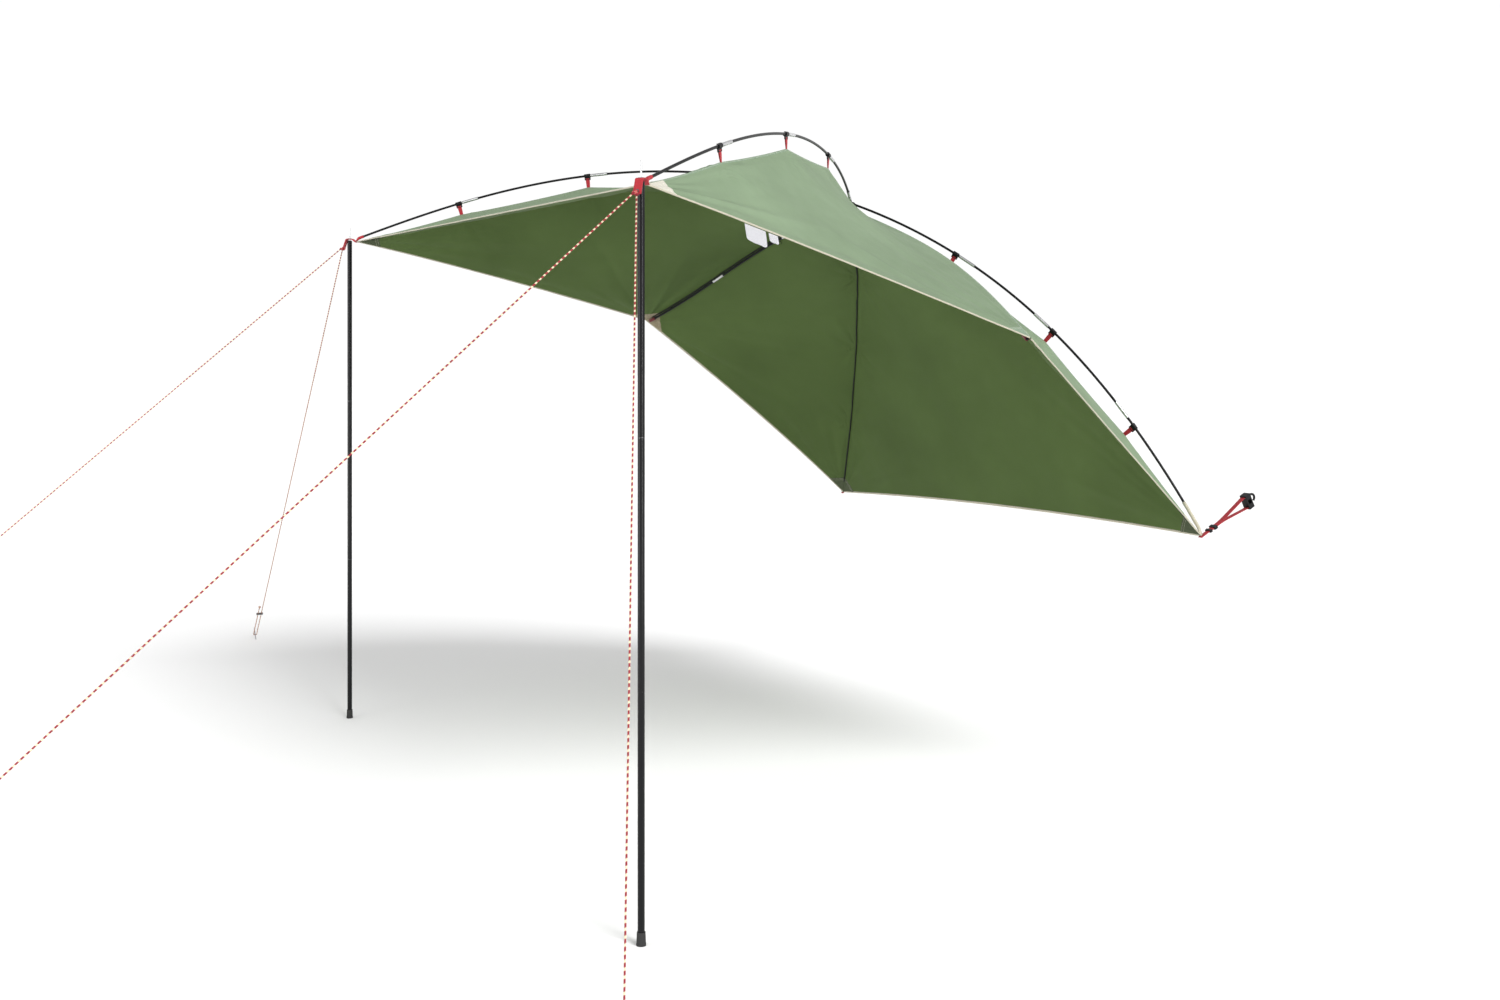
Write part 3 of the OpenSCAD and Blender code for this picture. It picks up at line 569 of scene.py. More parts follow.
def webbing(name, base, rib, sheen=0.15):
    """Woven tape: ribs across, a herringbone down the middle, with painted shade between the threads."""
    m = Mat(name, base, 0.72, Sheen_Weight=sheen)
    u, v = m.uv()
    zig = m.math("ABSOLUTE", m.wave(u, 0.012))
    rows = m.wave(m.add(v, m.mul(zig, rib * HERRINGBONE)), rib)
    cols = m.wave(u, rib * 1.1)
    weave = m.mul(rows, cols)
    # Painted shade: the colour darkens where the weave dips between the threads.
    tone = m.ramp(weave, dark(base, 0.62), dark(base, 1.12), -0.6, 0.6)
    tone = m.blend(m.mul(m.noise(60, 3), 0.3), tone, dark(base, 0.7))
    m.color(tone)
    m.bump(weave, 0.6, 0.0003)
    return m.m


def plastic(name, base, rough=0.42, grain=900, shine=0.5):
    m = Mat(name, base, rough, Specular_IOR_Level=shine)
    n = m.noise(grain, 2)
    wear = m.noise(35, 4)
    m.color(m.ramp(wear, dark(base, 0.8), tuple(x * 1.3 + 0.002 for x in base), 0.35, 0.75))
    m.rough(wear, rough * 0.8, min(1, rough * 1.35))
    m.bump(n, 0.15, 0.0002)
    return m.m


def metal(name, base, rough=0.28, stretch=(1, 1, 1), coat=0.0):
    """Bare metal, or paint with a clear coat where coat is above 0."""
    m = Mat(name, base, rough, 0.0 if coat else 1.0, Specular_IOR_Level=0.22 if coat else 0.5,
            Coat_Weight=coat)
    n = m.noise(240, 3, stretch)
    m.color(m.ramp(m.noise(28, 4), dark(base, 0.82), dark(base, 1.1), 0.3, 0.7))
    m.rough(n, rough * 0.8, rough * 1.3)
    m.bump(n, 0.04, 0.0001)
    return m.m


FLECK_PITCH = 0.015


def line_cloth(name, base, fleck, d):
    """Braided cord: crossing strands with painted shade in the grooves between them, and pale flecks in a
    spiral.
    """
    m = Mat(name, base, 0.7)
    u, v = m.uv()
    turn = math.pi * d
    a = m.wave(m.add(u, m.mul(v, 0.9)), turn / 4)
    b = m.wave(m.math("SUBTRACT", u, m.mul(v, 0.9)), turn / 4)
    braid = m.mul(a, b)
    spiral = m.wave(m.add(v, m.mul(u, 0.3)), FLECK_PITCH)
    # Painted shade: the strands darken towards the grooves where they cross.
    m.color(m.blend(m.math("GREATER_THAN", spiral, 0.25),
                    m.ramp(braid, dark(base, 0.6), base, -0.5, 0.5), fleck))
    m.bump(braid, 0.7, 0.0004)
    return m.m


GREEN_OUT = coated_cloth("canopy_outside", (0.285, 0.385, 0.245), (0.16, 0.25, 0.08), 0.3)
# The inner face is the cloth's olive inner side with painted shade: its colour is darkened to stand in for
# the shade under the canopy.
SHADED_GREEN_IN = coated_cloth("canopy_inside_painted_shade", (0.106, 0.160, 0.052), (0.13, 0.20, 0.05), 0.12)
TAPE = webbing("edge_tape", (0.60, 0.56, 0.43), 0.0014, 0.2)
DARK_TAPE = webbing("seam_tape", (0.010, 0.016, 0.008), 0.0014, 0.0)
SEAM_GREEN = webbing("seam_cover", (0.22, 0.33, 0.21), 0.0012)
CREAM = webbing("cream_patch", (0.74, 0.71, 0.60), 0.0011)
OLIVE = webbing("inner_patch", (0.062, 0.085, 0.032), 0.0011, 0.0)
TAN = webbing("tan_patch", (0.30, 0.25, 0.15), 0.0011)
RED = webbing("red_webbing", (0.46, 0.010, 0.022), 0.0018, 0.05)
DARK_RED = webbing("dark_red_webbing", (0.16, 0.008, 0.012), 0.0018)
WHITE = webbing("label_cloth", (0.62, 0.62, 0.65), 0.0009, 0.0)
THREAD = plastic("thread", (0.55, 0.53, 0.42), 0.7, 2000)
RED_THREAD = plastic("red_thread", (0.30, 0.01, 0.015), 0.7, 2000)
LINE_D = 0.0044
LINE = line_cloth("guy_line", (0.36, 0.015, 0.030), (0.74, 0.62, 0.42), LINE_D)
HITCH = line_cloth("hitch_cord", (0.36, 0.015, 0.030), (0.50, 0.08, 0.08), LINE_D)
ROD = plastic("fibreglass_rod", (0.004, 0.004, 0.005), 0.28, 500, 0.2)
BLACK = plastic("black_plastic", (0.005, 0.005, 0.006), 0.42, 900, 0.2)
GREY = plastic("grey_plastic", (0.10, 0.10, 0.105), 0.45)
RUBBER = plastic("foot_rubber", (0.016, 0.016, 0.016), 0.78, 600)
PAINT = metal("black_paint", (0.004, 0.004, 0.005), 0.14, (1, 1, 0.05), coat=0.02)
STEEL = metal("bright_steel", (0.66, 0.66, 0.67), 0.26, (1, 1, 0.1))
DULL = metal("dull_steel", (0.20, 0.20, 0.21), 0.4)
CORD_BLACK = webbing("tie_cord", (0.006, 0.006, 0.006), 0.001, 0.0)

# ---- camera
cam_data = bpy.data.cameras.new("camera")
cam = placed("camera", cam_data)
bpy.context.scene.camera = cam
# A level camera 1.57 m above the ground, with shift, so that uprights stay upright in the picture
cam_data.sensor_width, cam_data.lens, cam_data.shift_y = 36, 38.4, -0.10677333
cam_data.clip_end = 200
cam.location = A([5.2075, -1.7654, 1.5742]) - ANCHOR
cam.rotation_euler = (math.pi / 2, 0, 1.0657)

# ---- guy lines
FRONT_HALF = 1.430
PIVOT = {s: A([s * FRONT_HALF, 0, 1.994]) - ANCHOR for s in (LEFT, RIGHT)}


def outwards(side):
    return unit((PIVOT[side] - APEX) * A([1, 1, 0]))


TAB_TOP, TAB_EYELET, TAB_END = A([0.013, -0.0025]), A([0.025, -0.035]), A([0.028, -0.043])
TAB_SLOPE = unit(TAB_END - TAB_TOP)


def at_tab(side, p):
    return PIVOT[side] + outwards(side) * p[0] + UP * p[1]


def tab_face(side):
    return outwards(side) * -TAB_SLOPE[1] + UP * TAB_SLOPE[0]


LOOP_R, TENSIONER_UP, TAIL, LINE_START = 0.008, 0.180, 0.07, 0.007
PEGS = {"left_front": (LEFT, [-1.430, -2.250, 0.025]), "left_side": (LEFT, [-3.430, 0.040, 0.025]),
        "right_front": (RIGHT, [1.430, -2.200, 0.025]), "right_side": (RIGHT, [2.500, -0.540, 0.025])}


def line_frame(name):
    """Where a line starts, its peg, its direction and the level direction square to it."""
    side, peg = PEGS[name]
    peg = A(peg) - ANCHOR
    pull = at_tab(side, TAB_EYELET) + tab_face(side) * 0.006
    d = unit(peg - pull)
    return pull + d * LINE_START, peg, d, unit(np.cross(d, UP))


def trefoil(n):
    a = linspace(0, TURN, n)
    return stack([sin(a) + 2 * sin(2 * a), cos(a) - 2 * cos(2 * a), -sin(3 * a)], -1)


def knot(shape, at, d, size):
    """A small overhand knot: a trefoil of cord pulled tight."""
    pts = at + (trefoil(40) * size * A([0.36, 0.36, 0.5])) @ rot_to(d)[:, [1, 2, 0]].T
    shape.sweep(pts, circle(LINE_D / 2 * 0.95, 8), caps=False)


# Each line runs straight to its peg, half round it, and back to its tensioner and knot
for name in PEGS:
    start, peg, d, h = line_frame(name)
    c = peg - h * LOOP_R
    straight = [start + (peg - start) * w for w in linspace(0, 1, 12)[:-1]]
    arc = [c + h * LOOP_R * math.cos(a) + d * LOOP_R * math.sin(a) for a in linspace(0, math.pi, 13)]
    back = [c - h * LOOP_R - d * x for x in linspace(0, TENSIONER_UP + TAIL, 8)[1:]]
    route = A(straight + arc + back)
    s = Shape()
    s.sweep(route, circle(LINE_D / 2, 12))
    line = s.make(f"{name}_line", [LINE], slot="red_line", replaces=[f"{name}_guy"])
    k = Shape()
    knot(k, route[-1] + d * 0.012, d, 0.0045)
    end = k.make(f"{name}_stopper_knot", [LINE], slot="red_line")
    length = round(float(run_of(route)[-1]), 3)


# ---- canopy
COLUMNS, ROW_STEP, TOP_T, HALF_CLOTH = 96, 0.014, 0.985, 0.0005


def canopy_rows():
    """Rows from the edge to the apex: two close to the edge for the binding, one at each hook."""
    hooks = [round(float(t), 4) for k in (0, 3) for t in holds_of(k)]
    marks = sorted({0.0, 0.0012, 0.0048, TOP_T, *hooks})
    rows = [0.0]
    for a, b in zip(marks, marks[1:]):
        n = max(1, round((b - a) * PANEL_LENGTH / ROW_STEP))
        rows.extend(a + (b - a) * w for w in linspace(0, 1, n + 1)[1:])
    return A(rows)


def canopy_columns():
    """Columns across a panel, closer together beside the seams."""
    s = linspace(0, 1, COLUMNS + 1)
    return s - 0.09 * sin(TURN * s)


def build_canopy():
    """Six panels welded into one sheet, with an outer and an inner face and a closed rim."""
    uu, tt = np.meshgrid(canopy_columns(), canopy_rows())
    nr, nc = len(tt), COLUMNS
    pts = [cloth(k, uu, tt) for k in range(6)]
    ring = concatenate([p[:, :-1] for p in pts], axis=1)
    wide = ring.shape[1]
    flat = concatenate([ring.reshape(-1, 3), [APEX]])
    top = len(flat) - 1
    i, j = np.meshgrid(np.arange(nr - 1), np.arange(wide), indexing="ij")
    nxt = (j + 1) % wide
    quads = stack([i * wide + j, i * wide + nxt, (i + 1) * wide + nxt, (i + 1) * wide + j], -1)
    uvs = np.zeros(quads.shape + (2,))
    for k in range(6):
        a, b = CORNERS[k], CORNERS[after(k)]
        ex = unit(b - a)
        ey = unit((APEX - a) - ex * ((APEX - a) @ ex))
        q = pts[k]
        panel = stack([q[:-1, :-1], q[:-1, 1:], q[1:, 1:], q[1:, :-1]], -2)
        uvs[:, k * nc:(k + 1) * nc] = stack([panel @ ex, panel @ ey], -1)
    quads = quads.reshape(-1, 4)
    uvs = uvs.reshape(-1, 4, 2)
    last = (nr - 1) * wide
    fan = A([[last + c, last + (c + 1) % wide, top] for c in range(wide)])
    # A corner's normal is the sum of its quads' normals
    fn = np.cross(flat[quads[:, 2]] - flat[quads[:, 0]], flat[quads[:, 3]] - flat[quads[:, 1]])
    vn = np.zeros_like(flat)
    for c in range(4):
        np.add.at(vn, quads[:, c], fn)
    vn = unit(vn)
    vn[top] = UP
    outer, inner = flat + vn * HALF_CLOTH, flat - vn * HALF_CLOTH
    s = Shape()
    n = len(flat)
    tris = concatenate([quads[:, [0, 1, 2]], quads[:, [0, 2, 3]]])
    uvs = concatenate([uvs[:, [0, 1, 2]], uvs[:, [0, 2, 3]]])
    s.add(concatenate([outer, inner]), tris.tolist(), uvs.tolist(), 0)
    s.f += [tuple(f) for f in fan.tolist()]
    s.f += [tuple(f[::-1]) for f in (concatenate([tris, fan]) + n).tolist()]
    s.uv += [tuple(flat[v][:2]) for f in fan for v in f]
    s.uv += [tuple(p) for f in uvs.tolist() for p in f[::-1]]
    s.uv += [tuple(flat[v][:2]) for f in fan for v in f[::-1]]
    s.m += [0] * len(fan) + [1] * (len(tris) + len(fan))
    s.f += [(c, c + n, d + n, d) for c, d in zip(range(wide), [*range(1, wide), 0])]
    s.uv += [(0, 0)] * 4 * wide
    s.m += [0] * wide
    return s, float(0.5 * norm(fn, axis=1).sum())


canopy_shape, canopy_area = build_canopy()
PANELS = ["front_panel", "right_front_panel", "right_rear_panel", "rear_panel",
          "left_rear_panel", "left_front_panel"]
canopy = canopy_shape.make("canopy", [GREEN_OUT, SHADED_GREEN_IN], slot="canopy_cloth", replaces=PANELS)


# ---- sewn trim
STITCH_W, STITCH_H = 0.0007, 0.0005
STITCH_FACES = (0, 4, 5, 3), (1, 2, 5, 4), (0, 1, 4), (3, 5, 2)


def dashes(shape, path, normals, pitch=0.005, length=0.0032, mat=0):
    """A row of stitches standing on a surface along a path."""
    path = np.asarray(path)
    normals = np.broadcast_to(normals, path.shape)
    d = run_of(path)
    for x in np.arange(pitch, d[-1] - pitch, pitch):
        a, b = ([np.interp(y, d, path[:, c]) for c in range(3)] for y in (x, x + length))
        n = unit([np.interp(x, d, normals[:, c]) for c in range(3)])
        a, b = A(a), A(b)
        s = unit(np.cross(b - a, n)) * STITCH_W / 2
        up = n * STITCH_H
        m0, m1 = a * 0.75 + b * 0.25 + up, a * 0.25 + b * 0.75 + up
        shape.add([a + s, a - s, b - s, b + s, m0, m1], STITCH_FACES,
                  [[(0, 0)] * len(f) for f in STITCH_FACES], mat)


def lines_beside(k, x, ts):
    """Points and normals at distance x from seam k: positive on panel k, negative before it."""
    p = k if x >= 0 else (k + 5) % 6
    u = np.clip(abs(x) / panel_width(p, ts), 0, 1)
    u = u if x >= 0 else 1 - u
    return cloth(p, u, ts), normal(p, u, ts)


# Half of the seam cover's section: distance from the seam and height; stitched along SEWN_AT
COVER_SECTION, SEWN_AT = ((0.0075, 0.0006), (0.0067, 0.0011), (0.004, 0.0013), (0.0015, 0.0019)), 0.004
cover, stitches = Shape(), Shape()
for k in range(6):
    ts = np.sort(concatenate([linspace(0.004, 0.95, 150), holds_of(k)]))
    rows = []
    for x, lift in (*((-x, z) for x, z in COVER_SECTION), *COVER_SECTION[::-1]):
        p, n = lines_beside(k, x, ts)
        rows.append(p + n * lift)
        if abs(x) == SEWN_AT:
            dashes(stitches, p + n * lift, n)
    grid = A(rows).transpose(1, 0, 2)
    uv = [[(c * 0.0022, t * PANEL_LENGTH) for c in range(grid.shape[1])] for t in ts]
    cover.grid(grid, uv, flip=True)
cover.make("seam_covers", [SEAM_GREEN], slot="canopy_cloth")

# Bound seam allowances: a folded tape that hangs under each seam and sways a little
hang = Shape()
for k in range(6):
    ts = linspace(0.03, 0.955, 170)
    p, n = lines_beside(k, 0.0, ts)
    n = (n + lines_beside(k, -1e-6, ts)[1]) / 2
    sway = np.interp(ts, linspace(0, 1, 40), rng.normal(size=40)) * 0.0009

    def fold(i, _):
        y = sway[i]
        return A([[0.0018, 0.0006], [0.0013 + y * 0.5, -0.0040], [0.0011 + y, -0.0082],
                  [-0.0011 + y, -0.0082], [-0.0013 + y * 0.5, -0.0040], [-0.0018, 0.0006]])
    side = unit(np.cross(np.gradient(p, axis=0), n))
    hang.sweep(p, fold, side=side)
hang.make("seam_bindings_sewn", [DARK_TAPE], slot="dark_tape", replaces=["seam_bindings"])

EDGE_T, BIND_SEWN = 0.012, 0.0062
BIND_SECTION = A([[0.0088, 0.0013], [0.0050, 0.0017], [0.0010, 0.0017], [-0.0007, 0.0012],
                  [-0.0012, 0.0], [-0.0007, -0.0012], [0.0010, -0.0017], [0.0050, -0.0017],
                  [0.0088, -0.0013]])
binding = Shape()
for k in range(6):
    us = linspace(0.002, 0.998, 190)
    zero = np.zeros_like(us)
    p = cloth(k, us, zero)
    inward = cloth(k, us, zero + EDGE_T) - p
    per_t = norm(inward, axis=-1) / EDGE_T
    inward = unit(inward)
    along_edge = unit(np.gradient(p, axis=0))
    n = unit(np.cross(inward, along_edge))
    n = n * np.sign((n * normal(k, us, zero)).sum(-1, keepdims=True))
    length = run_of(p)
    pucker = 1 + 0.05 * sin(length * TURN / 0.019) + 0.03 * rng.normal(size=len(us))
    rings = stack([cloth(k, us, max(a, 0) / per_t) + inward * min(a, 0) + n * (b * pucker)[:, None]
                      for a, b in BIND_SECTION], 1)
    around = [*run_of(BIND_SECTION), 0.03]
    binding.grid(rings, [[(a, x) for a in around] for x in length], wrap=True)
    for way in (1, -1):
        dashes(stitches, cloth(k, us, BIND_SEWN / per_t) + n * way * 0.0018, n * way)
binding.make("edge_binding_sewn", [TAPE], slot="beige_tape", replaces=["edge_binding"])

PATCH, SIDE_CORNERS = 0.095, (2, 5)
patches = Shape()


def patch(k, at_start, way, mat):
    """A corner patch's half on panel k; way is 1 on the outside and -1 on the inside."""
    corner = k if at_start else after(k)
    edge_l = norm(CORNERS[after(k)] - CORNERS[k])
    seam_l = norm(on(KINKED[corner], A([0.1])) - CORNERS[corner])
    r, w = np.meshgrid(linspace(0, 1, 31), linspace(0, 1, 22), indexing="ij")
    u = r * w * PATCH / edge_l
    t = 0.002 + r * (1 - w) * 0.1 * PATCH / seam_l
    u = u if at_start else 1 - u
    p, n = cloth(k, u, t), normal(k, u, t)
    lift = HALF_CLOTH + 0.0004 + 0.0007 * np.clip((1 - r) * 30, 0, 1)
    q = p + n * (way * lift)[..., None]
    uv = stack([r * PATCH * cos(w), r * PATCH * sin(w)], -1)
    patches.grid(q, uv, mat, flip=(way > 0) != at_start)
    for row in (28, 25):
        dashes(patches, q[row], n[row] * way, mat=4)


for k in range(6):
    for at_start in (True, False):
        at_side = (k if at_start else after(k)) in SIDE_CORNERS
        patch(k, at_start, 1, 1 if at_side else 0)
        patch(k, at_start, -1, 3 if at_side else 2)
patches.make("corner_patches_sewn", [CREAM, SEAM_GREEN, OLIVE, TAN, THREAD], slot="cream_cloth",
             replaces=["corner_patches"])

STAR_T = 0.953
star = Shape()
for way in (1, -1):
    for k in range(6):
        uu, tt = np.meshgrid(linspace(0, 1, 17), linspace(STAR_T, 0.9995, 7))
        p, n = cloth(k, uu, tt), normal(k, uu, np.full_like(tt, 0.97))
        lift = HALF_CLOTH + 0.0019 * np.clip((tt - STAR_T) * 120, 0.1, 1)
        p = p + n * (way * lift)[..., None]
        star.grid(p, p[..., :2], flip=way < 0)
        for row in (1, 4):
            dashes(stitches, p[row], n[row] * way)
star.make("apex_patch_sewn", [GREEN_OUT], slot="canopy_cloth", replaces=["apex_patch"])
stitches.make("stitching", [THREAD], slot="beige_tape")


# ---- rods
ARCH_JOINTS = [0.1405, 0.3005, 0.4585, 0.58, 0.747, 0.831, 0.918]
CROSS_JOINTS = [0.1675, 0.335, 0.55, 0.71, 0.855]
JOINT_GAP = 0.0003


def rod(node, curve, joints, end):
    """A rod's sections, from joint to joint; the rod stops short of its curve's ends by end."""
    s = Shape()
    marks = [end, *joints, 1 - end]
    for a, b in zip(marks, marks[1:]):
        p = curve(linspace(a, b, 40))
        p[0] += unit(p[1] - p[0]) * JOINT_GAP
        p[-1] -= unit(p[-1] - p[-2]) * JOINT_GAP
        s.sweep(p, circle(ROD_D / 2, 20))
    s.make(f"{node}_round", [ROD], slot="fibreglass", replaces=[node])


ARCHES = {side: (lambda s, side=side: arch(side, s)) for side in (LEFT, RIGHT)}
for side, word in SIDES:
    rod(f"arch_rod_{word}", ARCHES[side], ARCH_JOINTS, 0.006)
rod("cross_rod", cross, CROSS_JOINTS, 0.012)

def sleeve(shape, curve, s, r_out, r_in, l, crumple):
    """A sewn tube round a rod, slightly crumpled, with turned-in ends."""
    p, m = point(curve, s), rot_to(direction(curve, A([s]))[0])
    half = l / 2
    inside = linspace(-half + 0.002, half - 0.002, 12)
    xs = [-half + 0.001, -half, -half, *inside, half, half, half - 0.001]
    rs = [r_in, r_in, r_out * 0.94, *([r_out] * 12), r_out * 0.94, r_in, r_in]
    turn = linspace(0, TURN, 25)
    a = turn[:-1]
    rings = []
    for x, r in zip(xs, rs):
        rr = r * (1 + crumple * sin(3 * a + x * 300) * (r == r_out))
        rings.append(p + stack([np.full_like(a, x), rr * cos(a), rr * sin(a)], -1) @ m.T)
    shape.grid(A(rings), [[(r_out * t, x) for t in turn] for x in xs], wrap=True, flip=True)


POCKET_MOUTH = 0.0049


def rod_pocket(shape, curve, mouth, tip, corner, r):
    """A fabric pocket over a rod's end: open at the mouth, flattened and sewn down at the corner."""
    end = corner + UP * 0.003
    path = curve(linspace(mouth, tip, 8))
    flat = [path[-1] + (end - path[-1]) * w for w in (0.4, 0.75, 1.0)]
    path = concatenate([path[:1], path, flat])
    path[1] = path[0] + (path[2] - path[1]) * 0.02
    wide = [POCKET_MOUTH, *[r] * 8, 0.0082, 0.0095, 0.0100]
    high = [POCKET_MOUTH, *[r] * 8, 0.0045, 0.0026, 0.0012]
    across = unit(np.cross(path[-1] - path[0], UP))

    def section(i, x):
        a = linspace(0, TURN, 24, endpoint=False)
        r = 1 + 0.05 * sin(3 * a + x * 260)
        return stack([wide[i] * r * cos(a), high[i] * r * sin(a)], -1)
    shape.sweep(path, section, side=across)


front_pockets, rear_pockets = Shape(), Shape()
for side in (LEFT, RIGHT):
    first, last = (CORNERS[0], CORNERS[3]) if side == LEFT else (CORNERS[1], CORNERS[4])
    rod_pocket(front_pockets, ARCHES[side], 0.0090, 0.0030, first, 0.0058)
    rod_pocket(rear_pockets, ARCHES[side], 0.9820, 0.9970, last, 0.0062)
front_pockets.make("front_rod_pockets_sewn", [RED], slot="red_webbing", replaces=["rod_pockets"])
rear_pockets.make("rear_rod_pockets_sewn", [TAPE], slot="beige_tape", replaces=["rod_pockets"])

loops = Shape()
for s0 in (0.016, 0.984):
    sleeve(loops, cross, s0, 0.0075, 0.0048, 0.034, 0.05)
loops.make("side_loops_sewn", [DARK_RED], slot="red_webbing", replaces=["side_corner_loops"])

ties = Shape()
cross_at = (point(ARCHES[LEFT], ARCH_CROSS) + point(ARCHES[RIGHT], ARCH_CROSS)) / 2
cross_at[0] = 0


def tie(centre, d, r, wire, turns, up):
    """Turns of cord round a rod, side by side, ending in a knot with two short tails."""
    m = rot_to(d)
    section = circle(wire / 2, 8)
    a = linspace(0, TURN * turns, 26 * turns)
    x = (a / TURN - turns / 2) * wire * 1.05
    ties.sweep(centre + stack([x, r * cos(a), r * sin(a) + up], -1) @ m.T, section)
    start = A([0, r, up])
    ties.sweep(centre + (trefoil(36) * wire * 0.55 + start) @ m.T, section, caps=False)
    for way in (-1, 1):
        tail = A([start, start + A([way * 0.006, 0.004, -0.006]), start + A([way * 0.009, 0.004, -0.018])])
        ties.sweep(centre + smooth_path(tail, 0.003) @ m.T, section)


tie(cross_at, A([1.0, 0, 0]), 0.0175, 0.0028, 3, -0.005)
for s0 in (0.31, 0.69):
    tie(point(cross, s0), direction(cross, A([s0]))[0], 0.0067, 0.0024, 2, 0.0009)
ties.make("rod_ties_wound", [CORD_BLACK], slot="black_cord", replaces=["rod_ties"])

# ---- red webbing tabs on the hooks
TAB_W, TAB_T, BAR_DROP, BAR_R = 0.016, 0.0012, 0.0127, 0.0019
# One leg of a tab: share of the way up to the hook's bar, and distance from the middle
TAB_LEG = ((0, 0.0012), (0.35, 0.0016), (0.85, 0.0018))
tabs, tab_thread = Shape(), Shape()
for side in (LEFT, RIGHT):
    for hook in HOOKS:
        p, d = point(ARCHES[side], hook), direction(ARCHES[side], A([hook]))[0]
        down = below(d)
        across = np.cross(d, down)
        low = p + down * (HOOK_DROP + 0.002)
        bar = p + down * BAR_DROP
        path = [low + (bar - low) * w + across * x for w, x in TAB_LEG]
        for ang in linspace(0, math.pi, 7):
            path.append(bar + across * BAR_R * math.cos(ang) - down * BAR_R * math.sin(ang))
        path += [low + (bar - low) * w - across * x for w, x in TAB_LEG[::-1]]
        path = smooth_path(path, 0.004, 0.001)
        # The tabs of the right rod's front half are gathered narrow where they are sewn on
        pinch = 0.45 if (side == RIGHT and hook < ARCH_CROSS) else 0.85
        drop = norm(low - bar)

        def section(i, _):
            near = norm(path[i] - low) / drop
            return tape(TAB_W * (pinch + (1 - pinch) * smooth(near * 1.15)), TAB_T)
        tabs.sweep(path, section, side=d)
        for x in (0.10, 0.22):
            q = low + (bar - low) * x
            for way in (1, -1):
                w = TAB_W * pinch * 0.42
                dashes(tab_thread, [q - d * w, q + d * w] + across * way * 0.0022,
                       across * way, 0.0028, 0.0019)
tabs.make("hook_tabs_sewn", [RED], slot="red_webbing", replaces=["hook_tabs"])
tab_thread.make("hook_tab_stitching", [RED_THREAD], slot="red_webbing")

# ---- corner webbing over the uprights
WEB_W, WEB_T, WEB_STITCH = 0.024, 0.003, (0.0036, 0.0024)
EYELET_R, TAB_EYELET_R = 0.0085, 0.005


def drilled(o, cutters):
    """Cuts round holes through a piece and keeps the result as its mesh."""
    for at, axis, r in cutters:
        c = Shape()
        c.sweep([at - axis * 0.01, at, at + axis * 0.01], circle(r, 28))
        tool = c.make("cutter", [THREAD], body=None)
        mod = o.modifiers.new("hole", "BOOLEAN")
        mod.operation, mod.object, mod.solver = "DIFFERENCE", tool, "EXACT"
        done = bpy.data.meshes.new_from_object(o.evaluated_get(bpy.context.evaluated_depsgraph_get()))
        o.modifiers.remove(mod)
        o.data = done
        bpy.data.objects.remove(tool)


for side, word in SIDES:
    o = outwards(side)
    sideways = A([-o[1], o[0], 0])
    pts = [[-0.030, -0.014], [-0.014, -0.0015], [-0.008, 0], [0.008, 0], TAB_TOP, TAB_END]
    path = smooth_path([at_tab(side, A(p)) for p in pts], 0.0016, 0.006)
    s = Shape()
    s.sweep(path, tape(WEB_W, WEB_T, 6), side=sideways)
    web = s.make(f"{word}_corner_webbing", [RED], body=None)
    face = tab_face(side)
    drilled(web, [(PIVOT[side], UP, EYELET_R), (at_tab(side, TAB_EYELET), face, TAB_EYELET_R)])
    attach(web, "shelter")
    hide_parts(f"{word}_front_webbing")
    t = Shape()
    slope = o * TAB_SLOPE[0] + UP * TAB_SLOPE[1]
    # Stitch rows on the tab: two along it and three across, on both faces
    ends = (-0.0095, 0.0095)
    rows = [[(x, w) for x in (0.003, 0.036)] for w in ends] \
        + [[(x, w) for w in ends] for x in (0.006, 0.010, 0.036)]
    for way in (1, -1):
        for row in rows:
            row = A([at_tab(side, TAB_TOP) + slope * x + sideways * w for x, w in row])
            dashes(t, row + face * way * WEB_T / 2, face * way, *WEB_STITCH)
    for w in (-0.0102, 0.0102):
        row = A([at_tab(side, A([x, WEB_T / 2])) + sideways * w for x in (-0.007, 0.007)])
        dashes(t, row, UP, *WEB_STITCH)
    t.make(f"{word}_corner_stitching", [RED_THREAD], slot="red_webbing")
    c = Shape()
    eye = at_tab(side, TAB_EYELET)
    for name, (peg_side, _) in PEGS.items():
        if peg_side != side:
            continue
        start, _, d, _ = line_frame(name)
        shift = sideways * (0.0019 if "front" in name else -0.0019)
        # Through the eyelet, round under the tab's end and back to the knot
        ring = [start, eye + face * 0.0045 + shift * 0.6, eye - face * 0.0050 + shift * 0.6,
                eye + slope * 0.007 - face * 0.0048 + shift,
                eye + slope * 0.0125 + face * 0.0005 + shift,
                start + d * 0.003 + slope * 0.001]
        c.sweep(smooth_path(ring, 0.0015, 0.004), circle(LINE_D / 2 * 0.9, 10))
        knot(c, start + d * 0.005, d, 0.0036)
    c.make(f"{word}_line_hitches", [HITCH], slot="red_line")

# ---- vehicle straps
STRAP_W, STRAP_T, HOOK_X = 0.020, 0.0018, 1.150
LEG_START, LEG_OPEN, LEG_HALF_GAP, LEG_Z, PLATE_IN = 0.0346, 0.100, 0.020, 0.00135, 0.034


def strap_frame(side):
    """Rear corner, axes with X towards the vehicle hook, and the distance to that hook."""
    corner = CORNERS[4] if side == LEFT else CORNERS[3]
    to_hook = A([side * HOOK_X, 0, 0]) - corner
    return corner, rot_to(unit(to_hook)), norm(to_hook)


